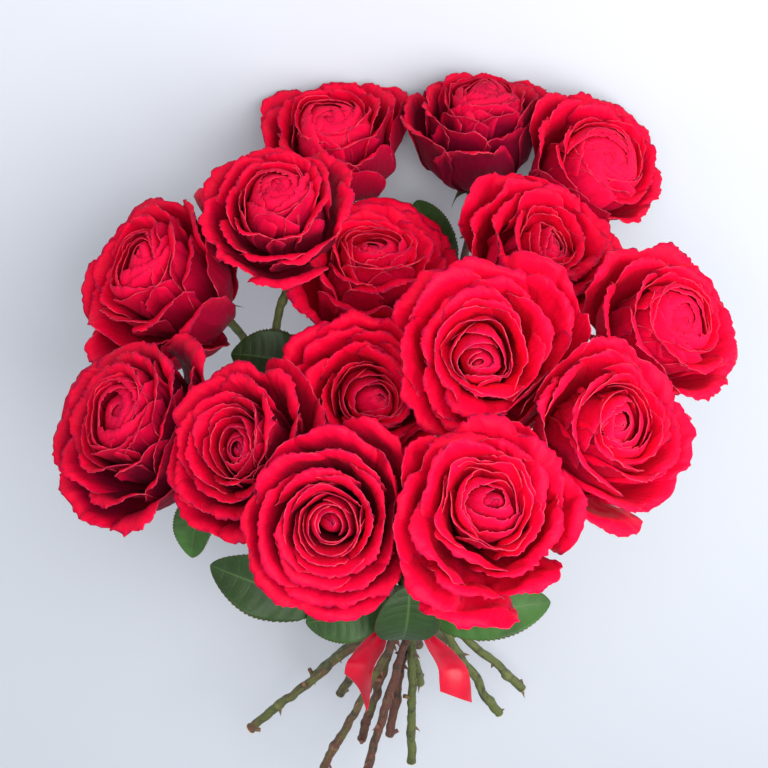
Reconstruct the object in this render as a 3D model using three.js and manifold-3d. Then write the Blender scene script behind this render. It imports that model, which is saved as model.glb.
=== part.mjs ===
// A hand-tied bunch of fifteen red roses with a satin ribbon, lying on its side on a table.
//
// Lengths are millimetres and angles are degrees. The bunch is built in its own frame, with the
// origin where the ribbon ties the stems, +Z towards the blooms, +X to the right and -Y towards
// the side that faces up when it lies. The last group lays it down on the plane z = 0.

import * as THREE from 'three';
import { mergeVertices } from 'three/addons/utils/BufferGeometryUtils.js';
import Module from 'manifold-3d';

// ---------------------------------------------------------------- driving dimensions

// Where each bloom's middle lies, as an angle around the bunch, an angle off its axis and a
// distance from the tie; which way the bloom faces, as the same two angles; its width; how
// closed its bud is and how far its outer petals hang, both 0 to 1; and its stem's cut end.
const ROSES = [
  { around: 104, off: 33, reach: 327, faces: [147, 8],
    across: 101, bud: 0.8, droop: 0.1, end: [-8, -33, -145] },
  { around: 75, off: 32, reach: 331, faces: [96, 15],
    across: 101, bud: 0.7, droop: 0.0, end: [-31, -65, -178] },
  { around: 49, off: 33, reach: 337, faces: [334, 28],
    across: 107, bud: 0.9, droop: 0.4, end: [-69, -59, -186] },
  { around: 150, off: 15, reach: 344, faces: [225, 17],
    across: 103, bud: 0.7, droop: 0.5, end: [14, -14, -100] },
  { around: 109, off: 16, reach: 270, faces: [13, 7],
    across: 121, bud: 0.3, droop: 0.6, end: [8, -49, -156] },
  { around: 40, off: 20, reach: 302, faces: [318, 20],
    across: 107, bud: 0.3, droop: 0.5, end: [-30, -36, -147] },
  { around: 161, off: 31, reach: 309, faces: [197, 40],
    across: 123, bud: 0.6, droop: 0.2, end: [74, -21, -135] },
  { around: 352, off: 26, reach: 343, faces: [331, 33],
    across: 111, bud: 0.7, droop: 0.6, end: [-114, -29, -142] },
  { around: 308, off: 12, reach: 338, faces: [270, 28],
    across: 113, bud: 0.1, droop: 0.8, end: [-46, -8, -127] },
  { around: 241, off: 11, reach: 280, faces: [249, 26],
    across: 104, bud: 0.2, droop: 0.5, end: [14, 20, -102] },
  { around: 200, off: 34, reach: 310, faces: [203, 41],
    across: 124, bud: 0.5, droop: 0.4, end: [92, -6, -122] },
  { around: 227, off: 25, reach: 324, faces: [213, 35],
    across: 112, bud: 0.1, droop: 0.7, end: [34, 28, -110] },
  { around: 318, off: 27, reach: 347, faces: [322, 37],
    across: 116, bud: 0.4, droop: 0.6, end: [-66, 4, -122] },
  { around: 256, off: 28, reach: 345, faces: [259, 43],
    across: 104, bud: 0.0, droop: 0.7, end: [-8, 46, -122] },
  { around: 284, off: 28, reach: 366, faces: [275, 26],
    across: 111, bud: 0.2, droop: 0.8, end: [-36, 36, -112] },
];

const PETAL_COUNT = 30;          // petals of a full bloom, numbered from the heart outwards
const PETAL_TURN = 137.5;        // from one petal to the next
const PETAL_THICK = 0.8;
const PETAL_CLAW = 0.12;         // width of a petal's foot, as a share of its full wrap
const BLOOM_TALL = 1.12;         // stretch of the petal curves along the bloom's axis
const CALYX_DEPTH = 0.75;        // from a bloom's middle down to its calyx, in bloom radii
const CROWD_REACH = 10;          // how near a neighbour's boundary a petal begins to bend away
const CROWD_GAP = 0.9;           // what it keeps from that boundary

// The petals that are built: every second one of the layers, each standing clear of the next.
const BUILT_PETALS = [
  { order: 9, columns: 4, spread: 1.0 },
  { order: 13, columns: 3, spread: 1.1 },
  { order: 15, columns: 3, spread: 1.2 },
  { order: 17, columns: 3, spread: 1.2 },
  { order: 19, columns: 3, spread: 1.2 },
  { order: 21, columns: 3, spread: 1.2 },
  { order: 23, columns: 3, spread: 1.2 },
  { order: 25, columns: 3, spread: 1.2 },
  { order: 27, columns: 3, spread: 1.2 },
  { order: 29, columns: 3, spread: 1.2 },
];
const PETAL_START = 0.06;        // where the built part of a petal starts, inside the core
const PETAL_ROWS = 2;
const PETAL_LIVELY = 0.25;
const CORE_SIDES = 6;
// The core's outline: distance from the axis and height above the calyx, in bloom radii.
const CORE_PROFILE = [[0, -0.04], [0.15, -0.04], [0.22, 0.25], [0.19, 0.80], [0.08, 0.96], [0, 0.99]];

const STEM_ACROSS = 5.4;         // from the tie upwards
const STEM_END_ACROSS = 7.0;     // at the cut end
const STEM_SIDES = 5;
const NECK_LENGTH = 18;          // straight stretch under each calyx
const HIP_ACROSS = 12;
const HIP_LENGTH = 10;
const SEPAL_REACH = 22;
const SEPAL_HANG = 8;
const STEM_SPACING = 5.7;        // least distance between the middles of two stems
const TIE_STATION = 3;           // of the points that a stem bends at, counted from its end
const STEM_STATIONS = 9;
const STEM_KINK = 4;             // how far a stem bends off its line between its end and the tie
const SPREAD_PASSES = 90;
const BLOOM_CLEARANCE = 3.4;     // what a passing stem keeps from a bloom's outer petals
const BELLY = 0.82;              // half the width of a bloom, in bloom radii, at its widest

// The order of the stems in the two rings that they form where they are tied.
const OUTER_RING = { radius: 10.6, start: -80, stems: [8, 3, 2, 1, 7, 11, 12, 14, 15, 13] };
const INNER_RING = { radius: 4.9, start: 250, stems: [9, 6, 5, 4, 10] };

// Leaves: the stem that each grows on and how far above the tie, the foot and the tip of its end
// leaflet, which way its upper face looks, that leaflet's width, and its pairs of side leaflets.
const LEAVES = [
  { stem: 12, above: 34, foot: [-53, -37, 48], tip: [-127, -33, 78],
    face: [-0.1, -0.7, 0.7], width: 42, pairs: 0 },
  { stem: 14, above: 40, foot: [-12, -41, 51], tip: [-64, -58, 48],
    face: [-0.1, -0.8, 0.6], width: 36, pairs: 0 },
  { stem: 15, above: 58, foot: [4, -54, 86], tip: [0, -66, 36],
    face: [0.1, -0.9, 0.5], width: 42, pairs: 0 },
  { stem: 13, above: 34, foot: [20, -47, 44], tip: [97, -50, 62],
    face: [0.1, -0.6, 0.8], width: 38, pairs: 0 },
  { stem: 11, above: 150, foot: [-120, -38, 172], tip: [-134, -72, 148],
    face: [-0.4, -0.5, 0.7], width: 28, pairs: 0 },
  { stem: 7, above: 130, foot: [-150, -2, 150], tip: [-205, -34, 182],
    face: [-0.6, -0.3, 0.7], width: 32, pairs: 1 },
  { stem: 4, above: 200, foot: [-58, 16, 225], tip: [-106, 18, 238],
    face: [-0.2, -0.4, 0.9], width: 34, pairs: 0 },
  { stem: 2, above: 190, foot: [30, 112, 214], tip: [8, 142, 246],
    face: [-0.3, -0.5, 0.8], width: 30, pairs: 0 },
];

const LEAF_THICK = 0.8;
const LEAF_ROWS = 7;
const SERRATION = 0.07;          // how deep the leaf's teeth are, as a share of its half width
const STALK_ACROSS = 2.2;
const STALK_BOW = 3;             // how far a leaf's stalk bows outwards

const WRAP_HALF_WIDTH = 11;
const WRAP_THICK = 1.0;
const WRAP_SIDES = 12;
const RIBBON_WIDTH = 25;
const RIBBON_THICK = 0.8;
const RIBBON_SLANT = 9;          // how far one corner of a cut end runs past the middle
const KNOT_SIZE = [16, 9, 14];

// The middle line of each loose end, from the knot, and the way across it at the knot.
const TAIL_LEFT = {
  line: [[-10.1, -24.3, -3], [-18, -38, -2], [-28, -58, -4], [-31, -68, -22]],
  across: [0.7, -0.3, 0.6],
};
const TAIL_RIGHT = {
  line: [[10.7, -24.4, -3], [21, -40, -4], [34, -58, -8], [38, -70, -26]],
  across: [0.7, 0.2, -0.6],
};

const SEAT_GAP = 0.3;            // between pieces that touch
const LIE_TILT = 22.85;          // how steeply the bunch's axis rises from its blooms' end
const LIE_ROLL = 2.7;            // turn of the bunch about its own axis as it lies
const REST_TRIM = 1.6;           // how much of the lowest petals and stem ends the table flattens

// ---------------------------------------------------------------- materials

function finish(color, roughness) {
  return new THREE.MeshStandardMaterial({ color, roughness, metalness: 0 });
}

const petalFinish = finish(0xc4061f, 0.6);
const stemFinish = finish(0x5d6b2f, 0.75);
const leafFinish = finish(0x1f4a26, 0.6);
const ribbonFinish = finish(0xd0142c, 0.35);

// ---------------------------------------------------------------- small helpers

const wasm = await Module();
wasm.setup();

const radians = THREE.MathUtils.degToRad;
const clamp = THREE.MathUtils.clamp;

function vector(x, y, z) {
  return new THREE.Vector3(x, y, z);
}

// The direction at an angle around the bunch's axis and an angle off it.
function direction(around, off) {
  const [a, o] = [radians(around), radians(off)];
  return vector(Math.sin(o) * Math.cos(a), Math.sin(o) * Math.sin(a), Math.cos(o));
}

// A repeatable number from -1 to 1.
function jitter(seed, index, channel) {
  const value = Math.sin(seed * 12.9898 + index * 78.233 + channel * 37.719) * 43758.5453;
  return 2 * (value - Math.floor(value)) - 1;
}

// A smooth step from 0 to 1.
function smooth(value) {
  const u = clamp(value, 0, 1);
  return u * u * (3 - 2 * u);
}

function bezier(a, b, c, d, u) {
  const w = 1 - u;
  return w * w * w * a + 3 * w * w * u * b + 3 * w * u * u * c + u * u * u * d;
}

// A closed geometry as a solid: its corners are shared and slivers with no area are dropped.
function toSolid(geometry) {
  const bare = geometry.clone();
  bare.deleteAttribute('normal');
  bare.deleteAttribute('uv');
  const merged = mergeVertices(bare, 1e-5);
  const corners = [];
  for (let i = 0; i < merged.index.count; i += 3) {
    const [a, b, c] = [0, 1, 2].map((n) => merged.index.getX(i + n));
    if (a !== b && b !== c && c !== a) corners.push(a, b, c);
  }
  return new wasm.Manifold(new wasm.Mesh({
    numProp: 3,
    vertProperties: Float32Array.from(merged.attributes.position.array),
    triVerts: Uint32Array.from(corners),
  }));
}

function toGeometry(solid) {
  const mesh = solid.getMesh();
  const geometry = new THREE.BufferGeometry();
  geometry.setAttribute('position', new THREE.BufferAttribute(mesh.vertProperties, 3));
  geometry.setIndex(new THREE.BufferAttribute(mesh.triVerts, 1));
  geometry.computeVertexNormals();
  return geometry;
}

function join(geometries) {
  return geometries.map(toSolid).reduce((whole, next) => whole.add(next));
}

// A geometry from corner points and faces, turned so that its faces point outwards.
function skin(points, faces) {
  let volume = 0;
  for (const [a, b, c] of faces) {
    volume += points[a].dot(points[b].clone().cross(points[c]));
  }
  const outward = volume < 0 ? faces.map(([a, b, c]) => [a, c, b]) : faces;
  const geometry = new THREE.BufferGeometry().setFromPoints(points);
  geometry.setIndex(outward.flat());
  return geometry;
}

// A thin blade on rows of points: the same triangles on both faces, and a rim round them. Its
// first row is a foot of two points, and the rows after it are alike.
function blade(rows, thick) {
  const columns = rows[1].length;
  const last = rows.length - 1;
  const foot = rows[0];
  const at = (i, j) => (i > 0
    ? rows[Math.min(i, last)][clamp(j, 0, columns - 1)]
    : foot[0].clone().lerp(foot[1], clamp(j, 0, columns - 1) / (columns - 1)));
  const raised = (i, j, height) => {
    const along = at(i + 1, j).clone().sub(at(i - 1, j));
    const across = at(i, j + 1).clone().sub(at(i, j - 1));
    return at(i, j).clone().addScaledVector(along.cross(across).normalize(), height);
  };
  const points = [];
  for (const height of [thick / 2, -thick / 2]) {
    points.push(raised(0, 0, height), raised(0, columns - 1, height));
    for (let i = 1; i <= last; i += 1) {
      for (let j = 0; j < columns; j += 1) points.push(raised(i, j, height));
    }
  }
  const corner = (i, j) => 2 + (i - 1) * columns + j;
  const half = Math.floor((columns - 1) / 2);
  const sheet = [[0, corner(1, half), 1]];
  for (let j = 0; j + 1 < columns; j += 1) {
    sheet.push([j < half ? 0 : 1, corner(1, j), corner(1, j + 1)]);
  }
  for (let i = 1; i < last; i += 1) {
    for (let j = 0; j + 1 < columns; j += 1) {
      const [a, b, c, d] = [corner(i, j), corner(i, j + 1), corner(i + 1, j), corner(i + 1, j + 1)];
      sheet.push([a, c, b], [b, c, d]);
    }
  }
  const rim = [0, 1];
  for (let i = 1; i < last; i += 1) rim.push(corner(i, columns - 1));
  for (let j = columns - 1; j >= 0; j -= 1) rim.push(corner(last, j));
  for (let i = last - 1; i > 0; i -= 1) rim.push(corner(i, 0));
  const under = points.length / 2;
  const faces = sheet.flatMap(([a, b, c]) => [[a, b, c], [a + under, c + under, b + under]]);
  rim.forEach((a, n) => {
    const b = rim[(n + 1) % rim.length];
    faces.push([a, b, a + under], [b, b + under, a + under]);
  });
  return skin(points, faces);
}

// A closed tube through points, with a radius at each of them.
function tube(path, radii, sides) {
  const last = path.length - 1;
  const spoke = vector(1, 0, 0);
  const points = [];
  path.forEach((centre, i) => {
    const along = path[Math.min(i + 1, last)].clone().sub(path[Math.max(i - 1, 0)]).normalize();
    spoke.addScaledVector(along, -spoke.dot(along)).normalize();
    const other = along.clone().cross(spoke);
    for (let k = 0; k < sides; k += 1) {
      const angle = 2 * Math.PI * k / sides;
      points.push(centre.clone().addScaledVector(spoke, radii[i] * Math.cos(angle))
        .addScaledVector(other, radii[i] * Math.sin(angle)));
    }
  });
  const faces = [];
  for (let i = 0; i < last; i += 1) {
    for (let k = 0; k < sides; k += 1) {
      const [a, b] = [i * sides + k, i * sides + (k + 1) % sides];
      faces.push([a, b, a + sides], [b, b + sides, a + sides]);
    }
  }
  const end = last * sides;
  for (let k = 1; k + 1 < sides; k += 1) {
    faces.push([0, k + 1, k], [end, end + k, end + k + 1]);
  }
  return skin(points, faces);
}

// A three-sided spike with its foot inside what it grows from.
function spike(foot, tip, radius) {
  const axis = tip.clone().sub(foot).normalize();
  const turn = new THREE.Quaternion().setFromUnitVectors(vector(0, 0, 1), axis);
  const points = [0, 1, 2].map((k) => {
    const angle = 2 * Math.PI * k / 3;
    return vector(radius * Math.cos(angle), radius * Math.sin(angle), 0)
      .applyQuaternion(turn).add(foot);
  });
  return skin([...points, tip], [[0, 1, 3], [1, 2, 3], [2, 0, 3], [0, 2, 1]]);
}

// ---------------------------------------------------------------- where the blooms are

// Each rose with its bloom's middle, its calyx, the turn of its axis and its radius.
function placeRoses() {
  return ROSES.map((row, index) => {
    const radius = row.across / 2;
    const axis = direction(row.faces[0], row.faces[1]);
    const middle = direction(row.around, row.off).multiplyScalar(row.reach);
    const calyx = middle.clone().addScaledVector(axis, -CALYX_DEPTH * radius);
    const turn = new THREE.Quaternion().setFromUnitVectors(vector(0, 0, 1), axis);
    return { ...row, number: index + 1, radius, axis, middle, calyx, turn };
  });
}

const roses = placeRoses();

// The flat boundaries between a rose and the neighbours whose petals would reach it.
function boundaries(rose) {
  const planes = [];
  for (const other of roses) {
    if (other === rose) continue;
    const between = other.middle.clone().sub(rose.middle);
    const distance = between.length();
    if (distance > 1.25 * (rose.radius + other.radius)) continue;
    const share = rose.radius / (rose.radius + other.radius);
    planes.push({ toward: between.divideScalar(distance), reach: distance * share });
  }
  return planes;
}

// Bends a point of a petal back from every boundary that it comes near or crosses.
function keepClear(point, rose, planes) {
  const soft = CROWD_REACH - CROWD_GAP;
  for (let pass = 0; pass < 2; pass += 1) {
    for (const { toward, reach } of planes) {
      const inside = reach - point.clone().sub(rose.middle).dot(toward);
      if (inside >= CROWD_REACH) continue;
      const kept = CROWD_GAP + soft * Math.exp((inside - CROWD_REACH) / soft);
      point.addScaledVector(toward, inside - kept);
    }
  }
  return point;
}

// ---------------------------------------------------------------- petals

// A point of petal `order`, where `up` runs from its foot to its lip and `side` from -1 to 1
// across it, in bloom radii. The petal rises as a curve in its own half plane, is wrapped round
// the bloom's axis, rolls back at the lip and waves along it, as strongly as `lively` says.
function petalPoint(rose, order, up, side, spread, lively) {
  const draw = (channel) => lively * jitter(rose.number, order, channel);
  const t = order / (PETAL_COUNT - 1);
  const open = t + 0.03 * draw(1);
  const tip = 1 - 0.20 * Math.abs(side) ** 3 - 0.05 * Math.abs(side);
  const m = up * tip;
  const lip = Math.max(open, 0) ** (0.87 + 0.45 * rose.bud);
  const lipHeight = 1.08 + 0.12 * open - (0.46 + 0.22 * rose.droop * open ** 2) * open ** 2;
  let r = bezier(0.04 + 0.03 * open, 0.18 + 0.57 * open,
    0.17 + 0.55 * lip, 0.04 + 0.96 * lip, m);
  let z = bezier(0.06 * (1 - open), 0.30 * (1 - open) ** 2 - 0.04 * open,
    0.86 - 0.03 * open + 0.06 * draw(2) * open, lipHeight + 0.05 * draw(3) * open, m);
  const edge = smooth((Math.max(Math.abs(side) * 0.96, up) - 0.62) / 0.38) * up;
  const flank = clamp((Math.abs(side) - 0.35) / 0.65, 0, 1) ** 2 * up ** 1.5;
  const roll = lively * ((0.035 + 0.10 * t) * edge + (0.02 + 0.10 * t) * flank);
  const fall = Math.PI / 2 * t ** 1.6;
  r = r * (1 + (0.10 - 0.05 * t) * side) + roll * Math.cos(fall);
  z -= roll * Math.sin(fall) * 1.2;
  const wave = lively * (0.010 + 0.030 * t) * up ** 3;
  z += wave * Math.sin(3.1 * side + 3 * draw(5));
  r += 0.6 * wave * Math.sin(4.3 * side + 4 * draw(6) + 1);
  const wrap = (0.66 + 1.75 * (1 - t) ** 2.4 + 0.06 * draw(4)) * spread;
  const claw = PETAL_CLAW + (1 - PETAL_CLAW) * smooth(m / 0.5);
  const angle = radians(order * PETAL_TURN) + 0.12 * draw(7) + side * wrap * claw;
  return vector(r * Math.cos(angle), r * Math.sin(angle), z * BLOOM_TALL);
}

// One bloom, in the bunch's frame: a small core and the petals that stand out of it.
function bloomSolid(rose) {
  const planes = boundaries(rose);
  const place = (point) => keepClear(
    point.multiplyScalar(rose.radius).applyQuaternion(rose.turn).add(rose.calyx), rose, planes);
  const core = new THREE.LatheGeometry(
    CORE_PROFILE.map(([r, z]) => new THREE.Vector2(r, z * BLOOM_TALL)), CORE_SIDES);
  core.rotateX(Math.PI / 2);
  core.scale(rose.radius, rose.radius, rose.radius);
  core.applyQuaternion(rose.turn);
  core.translate(rose.calyx.x, rose.calyx.y, rose.calyx.z);
  const petals = BUILT_PETALS.map(({ order, columns, spread }) => {
    const rows = [];
    for (let i = 0; i <= PETAL_ROWS; i += 1) {
      const up = PETAL_START + (1 - PETAL_START) * i / PETAL_ROWS;
      const across = i === 0 ? 1 : columns;
      rows.push(Array.from({ length: across + 1 }, (_, j) => place(
        petalPoint(rose, order, up, 2 * j / across - 1, spread, PETAL_LIVELY))));
    }
    return blade(rows, PETAL_THICK);
  });
  return join([core, ...petals]);
}

// ---------------------------------------------------------------- stems

// A stem's first path: straight from its cut end to its place at the tie, and on to its neck.
function straightPath(rose) {
  const neck = rose.calyx.clone().addScaledVector(rose.axis, -NECK_LENGTH);
  const ring = OUTER_RING.stems.includes(rose.number) ? OUTER_RING : INNER_RING;
  const slot = ring.stems.indexOf(rose.number);
  const angle = radians(ring.start + slot * 360 / ring.stems.length);
  const tie = vector(ring.radius * Math.cos(angle), ring.radius * Math.sin(angle), 0);
  const end = vector(...rose.end);
  const kink = (k) => vector(jitter(rose.number, k, 14), jitter(rose.number, k, 15), 0)
    .multiplyScalar(k > 0 ? STEM_KINK : 0);
  return Array.from({ length: STEM_STATIONS }, (_, k) => (k < TIE_STATION
    ? end.clone().lerp(tie, k / TIE_STATION).add(kink(k))
    : tie.clone().lerp(neck, (k - TIE_STATION) / (STEM_STATIONS - 1 - TIE_STATION))));
}

// Where two straight stretches come nearest: how far along each of them, from 0 to 1.
function nearest(a, b, c, d) {
  const [u, v, w] = [b.clone().sub(a), d.clone().sub(c), a.clone().sub(c)];
  const [uu, uv, vv, uw, vw] = [u.dot(u), u.dot(v), v.dot(v), u.dot(w), v.dot(w)];
  const spread = uu * vv - uv * uv;
  let s = spread > 1e-9 ? clamp((uv * vw - vv * uw) / spread, 0, 1) : 0;
  const t = clamp((uv * s + vw) / vv, 0, 1);
  s = clamp((uv * t - uw) / uu, 0, 1);
  return [s, t];
}

// Moves two stretches of stem apart where they come too close. A stem's neck stays where it is.
function partStretches(path, k, other, l) {
  const [s, t] = nearest(path[k], path[k + 1], other[l], other[l + 1]);
  const away = path[k].clone().lerp(path[k + 1], s).sub(other[l].clone().lerp(other[l + 1], t));
  const lack = STEM_SPACING - away.length();
  if (lack <= 0) return;
  away.normalize().multiplyScalar(0.5 * lack);
  const last = STEM_STATIONS - 1;
  for (const [points, n, share, sign] of [
    [path, k, 1 - s, 1], [path, k + 1, s, 1], [other, l, 1 - t, -1], [other, l + 1, t, -1]]) {
    if (n < last) points[n].addScaledVector(away, sign * share);
  }
}

// Moves a stretch of stem out of the bloom of another rose.
function passBloom(path, k, rose) {
  const belly = rose.calyx.clone().addScaledVector(rose.axis, 0.72 * rose.radius);
  const stretch = new THREE.Line3(path[k], path[k + 1]);
  const share = stretch.closestPointToPointParameter(belly, true);
  const away = stretch.at(share, vector(0, 0, 0)).sub(belly);
  const lack = BELLY * rose.radius + BLOOM_CLEARANCE - away.length();
  if (lack <= 0) return;
  away.normalize().multiplyScalar(0.6 * lack);
  path[k].addScaledVector(away, 1 - share);
  if (k + 1 < STEM_STATIONS - 1) path[k + 1].addScaledVector(away, share);
}

// Bends the stems clear of each other and of the blooms that they pass.
function spreadStems() {
  const paths = roses.map(straightPath);
  for (let pass = 0; pass < SPREAD_PASSES; pass += 1) {
    paths.forEach((path, i) => {
      for (let k = 0; k + 1 < STEM_STATIONS; k += 1) {
        for (let j = i + 1; j < paths.length; j += 1) {
          for (let l = 0; l + 1 < STEM_STATIONS; l += 1) partStretches(path, k, paths[j], l);
        }
        roses.forEach((rose, j) => {
          if (i !== j) passBloom(path, k, rose);
        });
      }
    });
    for (const path of pass < SPREAD_PASSES / 2 ? paths : []) {
      const before = path.map((point) => point.clone());
      for (let k = 1; k + 1 < STEM_STATIONS; k += 1) {
        const middle = before[k - 1].clone().add(before[k + 1]).multiplyScalar(0.5);
        if (k !== TIE_STATION) path[k].lerp(middle, 0.1);
      }
    }
  }
  return paths;
}

const stemPaths = spreadStems();

// The hip is the swelling between a stem's neck and the calyx. Its top edge runs out into five
// narrow sepals that hang back.
function hip(rose) {
  const top = -0.04 * BLOOM_TALL * rose.radius - SEAT_GAP;
  const r = HIP_ACROSS / 2;
  const sides = 10;
  const ring = (radiusAt, heightAt) => Array.from({ length: sides }, (_, k) => {
    const angle = 2 * Math.PI * k / sides + 0.25 * jitter(rose.number, 0, 11);
    return vector(radiusAt(k) * Math.cos(angle), radiusAt(k) * Math.sin(angle), top + heightAt(k));
  });
  const sepal = (k, out, otherwise) => (k % 2 === 0 ? out : otherwise);
  const hang = (k) => SEPAL_HANG * (1 + 0.5 * jitter(rose.number, k, 12));
  const rings = [
    ring(() => 0.55 * r, () => -HIP_LENGTH),
    ring((k) => sepal(k, SEPAL_REACH, 0.85 * r), (k) => sepal(k, -hang(k), -2.0)),
    ring((k) => sepal(k, SEPAL_REACH - 0.5, 0.85 * r), (k) => sepal(k, 1.2 - hang(k), -0.2)),
    ring(() => 0.55 * r, () => 0),
  ];
  const points = rings.flat();
  const faces = [];
  for (let i = 0; i + 1 < rings.length; i += 1) {
    for (let k = 0; k < sides; k += 1) {
      const [a, b] = [i * sides + k, i * sides + (k + 1) % sides];
      faces.push([a, b, a + sides], [b, b + sides, a + sides]);
    }
  }
  const last = (rings.length - 1) * sides;
  for (let k = 1; k + 1 < sides; k += 1) {
    faces.push([0, k + 1, k], [last, last + k, last + k + 1]);
  }
  return skin(points.map((p) => p.applyQuaternion(rose.turn).add(rose.calyx)), faces);
}

// A few thorns along a stem, each with its foot inside it.
function thorns(rose, path) {
  return [1, 5].map((station, k) => {
    const share = 0.5 + 0.4 * jitter(rose.number, k, 13);
    const foot = path[station].clone().lerp(path[station + 1], share);
    const along = path[station + 1].clone().sub(path[station]).normalize();
    const angle = Math.atan2(foot.y, foot.x) + 0.6 * jitter(rose.number, k, 16);
    const out = vector(Math.cos(angle), Math.sin(angle), 0);
    out.addScaledVector(along, -out.dot(along)).normalize();
    const tip = foot.clone().addScaledVector(out, 6.4).addScaledVector(along, -2.6);
    return spike(foot.addScaledVector(out, 1.2), tip, 1.6);
  });
}

// The bare stem from its cut end into the hip, grown on all sides by `extra`.
function bareStem(rose, extra) {
  const foot = rose.calyx.clone().addScaledVector(rose.axis, -0.6 * HIP_LENGTH);
  const path = [...stemPaths[rose.number - 1], foot];
  const taper = path.map((_, k) => Math.max(1 - k / TIE_STATION, 0));
  const radii = taper.map((t) => (STEM_ACROSS + t * (STEM_END_ACROSS - STEM_ACROSS)) / 2 + extra);
  return tube(path, radii, STEM_SIDES);
}

function stemSolid(rose) {
  const path = stemPaths[rose.number - 1];
  return join([bareStem(rose, 0), hip(rose), ...thorns(rose, path)]);
}

// A bloom with a groove wherever another rose's stem would press into it.
function groove(bloom, rose) {
  return roses.filter((other) => other !== rose)
    .map((other) => toSolid(bareStem(other, SEAT_GAP + 0.1)))
    .filter((stem) => !bloom.intersect(stem).isEmpty())
    .reduce((whole, stem) => whole.subtract(stem), bloom);
}

// ---------------------------------------------------------------- leaves

// Where a stem passes a height above the tie, and the way that it runs there.
function stemAt(number, height) {
  const path = stemPaths[number - 1];
  const k = path.findIndex((point) => point.z > height) - 1;
  const share = (height - path[k].z) / (path[k + 1].z - path[k].z);
  return {
    place: path[k].clone().lerp(path[k + 1], share),
    along: path[k + 1].clone().sub(path[k]).normalize(),
  };
}

// A leaflet from its base to its tip: a toothed oval blade, folded along its midrib and arched.
function leaflet(base, tip, face, width) {
  const length = base.distanceTo(tip);
  const along = tip.clone().sub(base).normalize();
  const across = face.clone().cross(along).normalize();
  const up = along.clone().cross(across).normalize();
  const rows = [];
  for (let i = 0; i <= LEAF_ROWS; i += 1) {
    const u = i / LEAF_ROWS;
    const oval = Math.sin(Math.PI * u ** 0.8) ** 0.7;
    const tooth = 1 + SERRATION * (i % 2 === 0 ? 1 : -1);
    const half = Math.max(0.5 * width * oval * tooth, i === 0 ? 0.9 : 0.5);
    const rib = base.clone().lerp(tip, u).addScaledVector(up, 0.10 * length * Math.sin(Math.PI * u));
    const edge = (side) => rib.clone().addScaledVector(across, side * half)
      .addScaledVector(up, 0.18 * half);
    rows.push(i === 0 ? [edge(-1), edge(1)] : [edge(-1), rib, edge(1)]);
  }
  return blade(rows, LEAF_THICK);
}

// A leaf: its stalk, the leaflet at the end of it and the pairs beside it.
function leafSolid({ stem, above, foot, tip, face, width, pairs }) {
  const { place, along } = stemAt(stem, above);
  const fork = vector(...foot);
  const end = vector(...tip);
  const toward = fork.clone().sub(place);
  const out = toward.clone().addScaledVector(along, -toward.dot(along)).normalize();
  const upper = vector(...face).normalize();
  const root = place.clone().addScaledVector(out, STEM_ACROSS / 2 + SEAT_GAP);
  const bend = root.clone().lerp(fork, 0.5).addScaledVector(out, STALK_BOW);
  const curve = new THREE.QuadraticBezierCurve3(root.clone().addScaledVector(out, 2), bend, fork);
  const stalk = tube([root, ...curve.getPoints(2)],
    [1.3, 1, 1, 0.9].map((x) => x * STALK_ACROSS / 2), 4);
  const run = end.clone().sub(fork).normalize();
  const sideways = upper.clone().cross(run).normalize();
  const blades = [leaflet(fork.clone().addScaledVector(run, -1.5), end, upper, width)];
  for (let pair = 0; pair < pairs; pair += 1) {
    const base = fork.clone().lerp(root, 0.25 + 0.4 * pair);
    for (const side of [-1, 1]) {
      const reach = sideways.clone().multiplyScalar(side).addScaledVector(run, 0.55).normalize();
      blades.push(leaflet(base, base.clone().addScaledVector(reach, 1.15 * width), upper, 0.7 * width));
    }
  }
  return join([stalk, ...blades]);
}

// ---------------------------------------------------------------- ribbon

// How far out the bundle of stems reaches at a height near the tie.
function bundleRadius(height) {
  const middles = roses.map((rose) => stemAt(rose.number, height).place);
  return Math.max(...middles.map((p) => Math.hypot(p.x, p.y))) + STEM_ACROSS / 2;
}

// The inner radius of the band at its middle and at both its edges, where the stems spread.
const wrapReach = [0, WRAP_HALF_WIDTH].map((height) => {
  const bundle = Math.max(bundleRadius(height), bundleRadius(-height)) + SEAT_GAP;
  return bundle / Math.cos(Math.PI / WRAP_SIDES);
});

// The band that is wound round the stems, waisted where they are tied.
function wrapSolid() {
  const [waist, edge] = wrapReach;
  const half = WRAP_HALF_WIDTH;
  const inner = [[edge, half], [waist, 0], [edge, -half]];
  const outer = [[edge, -half], [waist, 0], [edge, half]].map(([r, z]) => [r + WRAP_THICK, z]);
  const outline = [...outer, ...inner, outer[0]].map(([r, z]) => new THREE.Vector2(r, z));
  const band = new THREE.LatheGeometry(outline, WRAP_SIDES);
  band.rotateX(Math.PI / 2);
  return toSolid(band);
}

const knotFront = -(wrapReach[0] + WRAP_THICK + SEAT_GAP);

// The knot lies on the band, on the side that faces up.
function knotSolid() {
  const knot = new THREE.SphereGeometry(1, 8, 5);
  knot.scale(KNOT_SIZE[0] / 2, KNOT_SIZE[1] / 2, KNOT_SIZE[2] / 2);
  knot.translate(0, knotFront - KNOT_SIZE[1] / 2, 0);
  return toSolid(knot);
}

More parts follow.
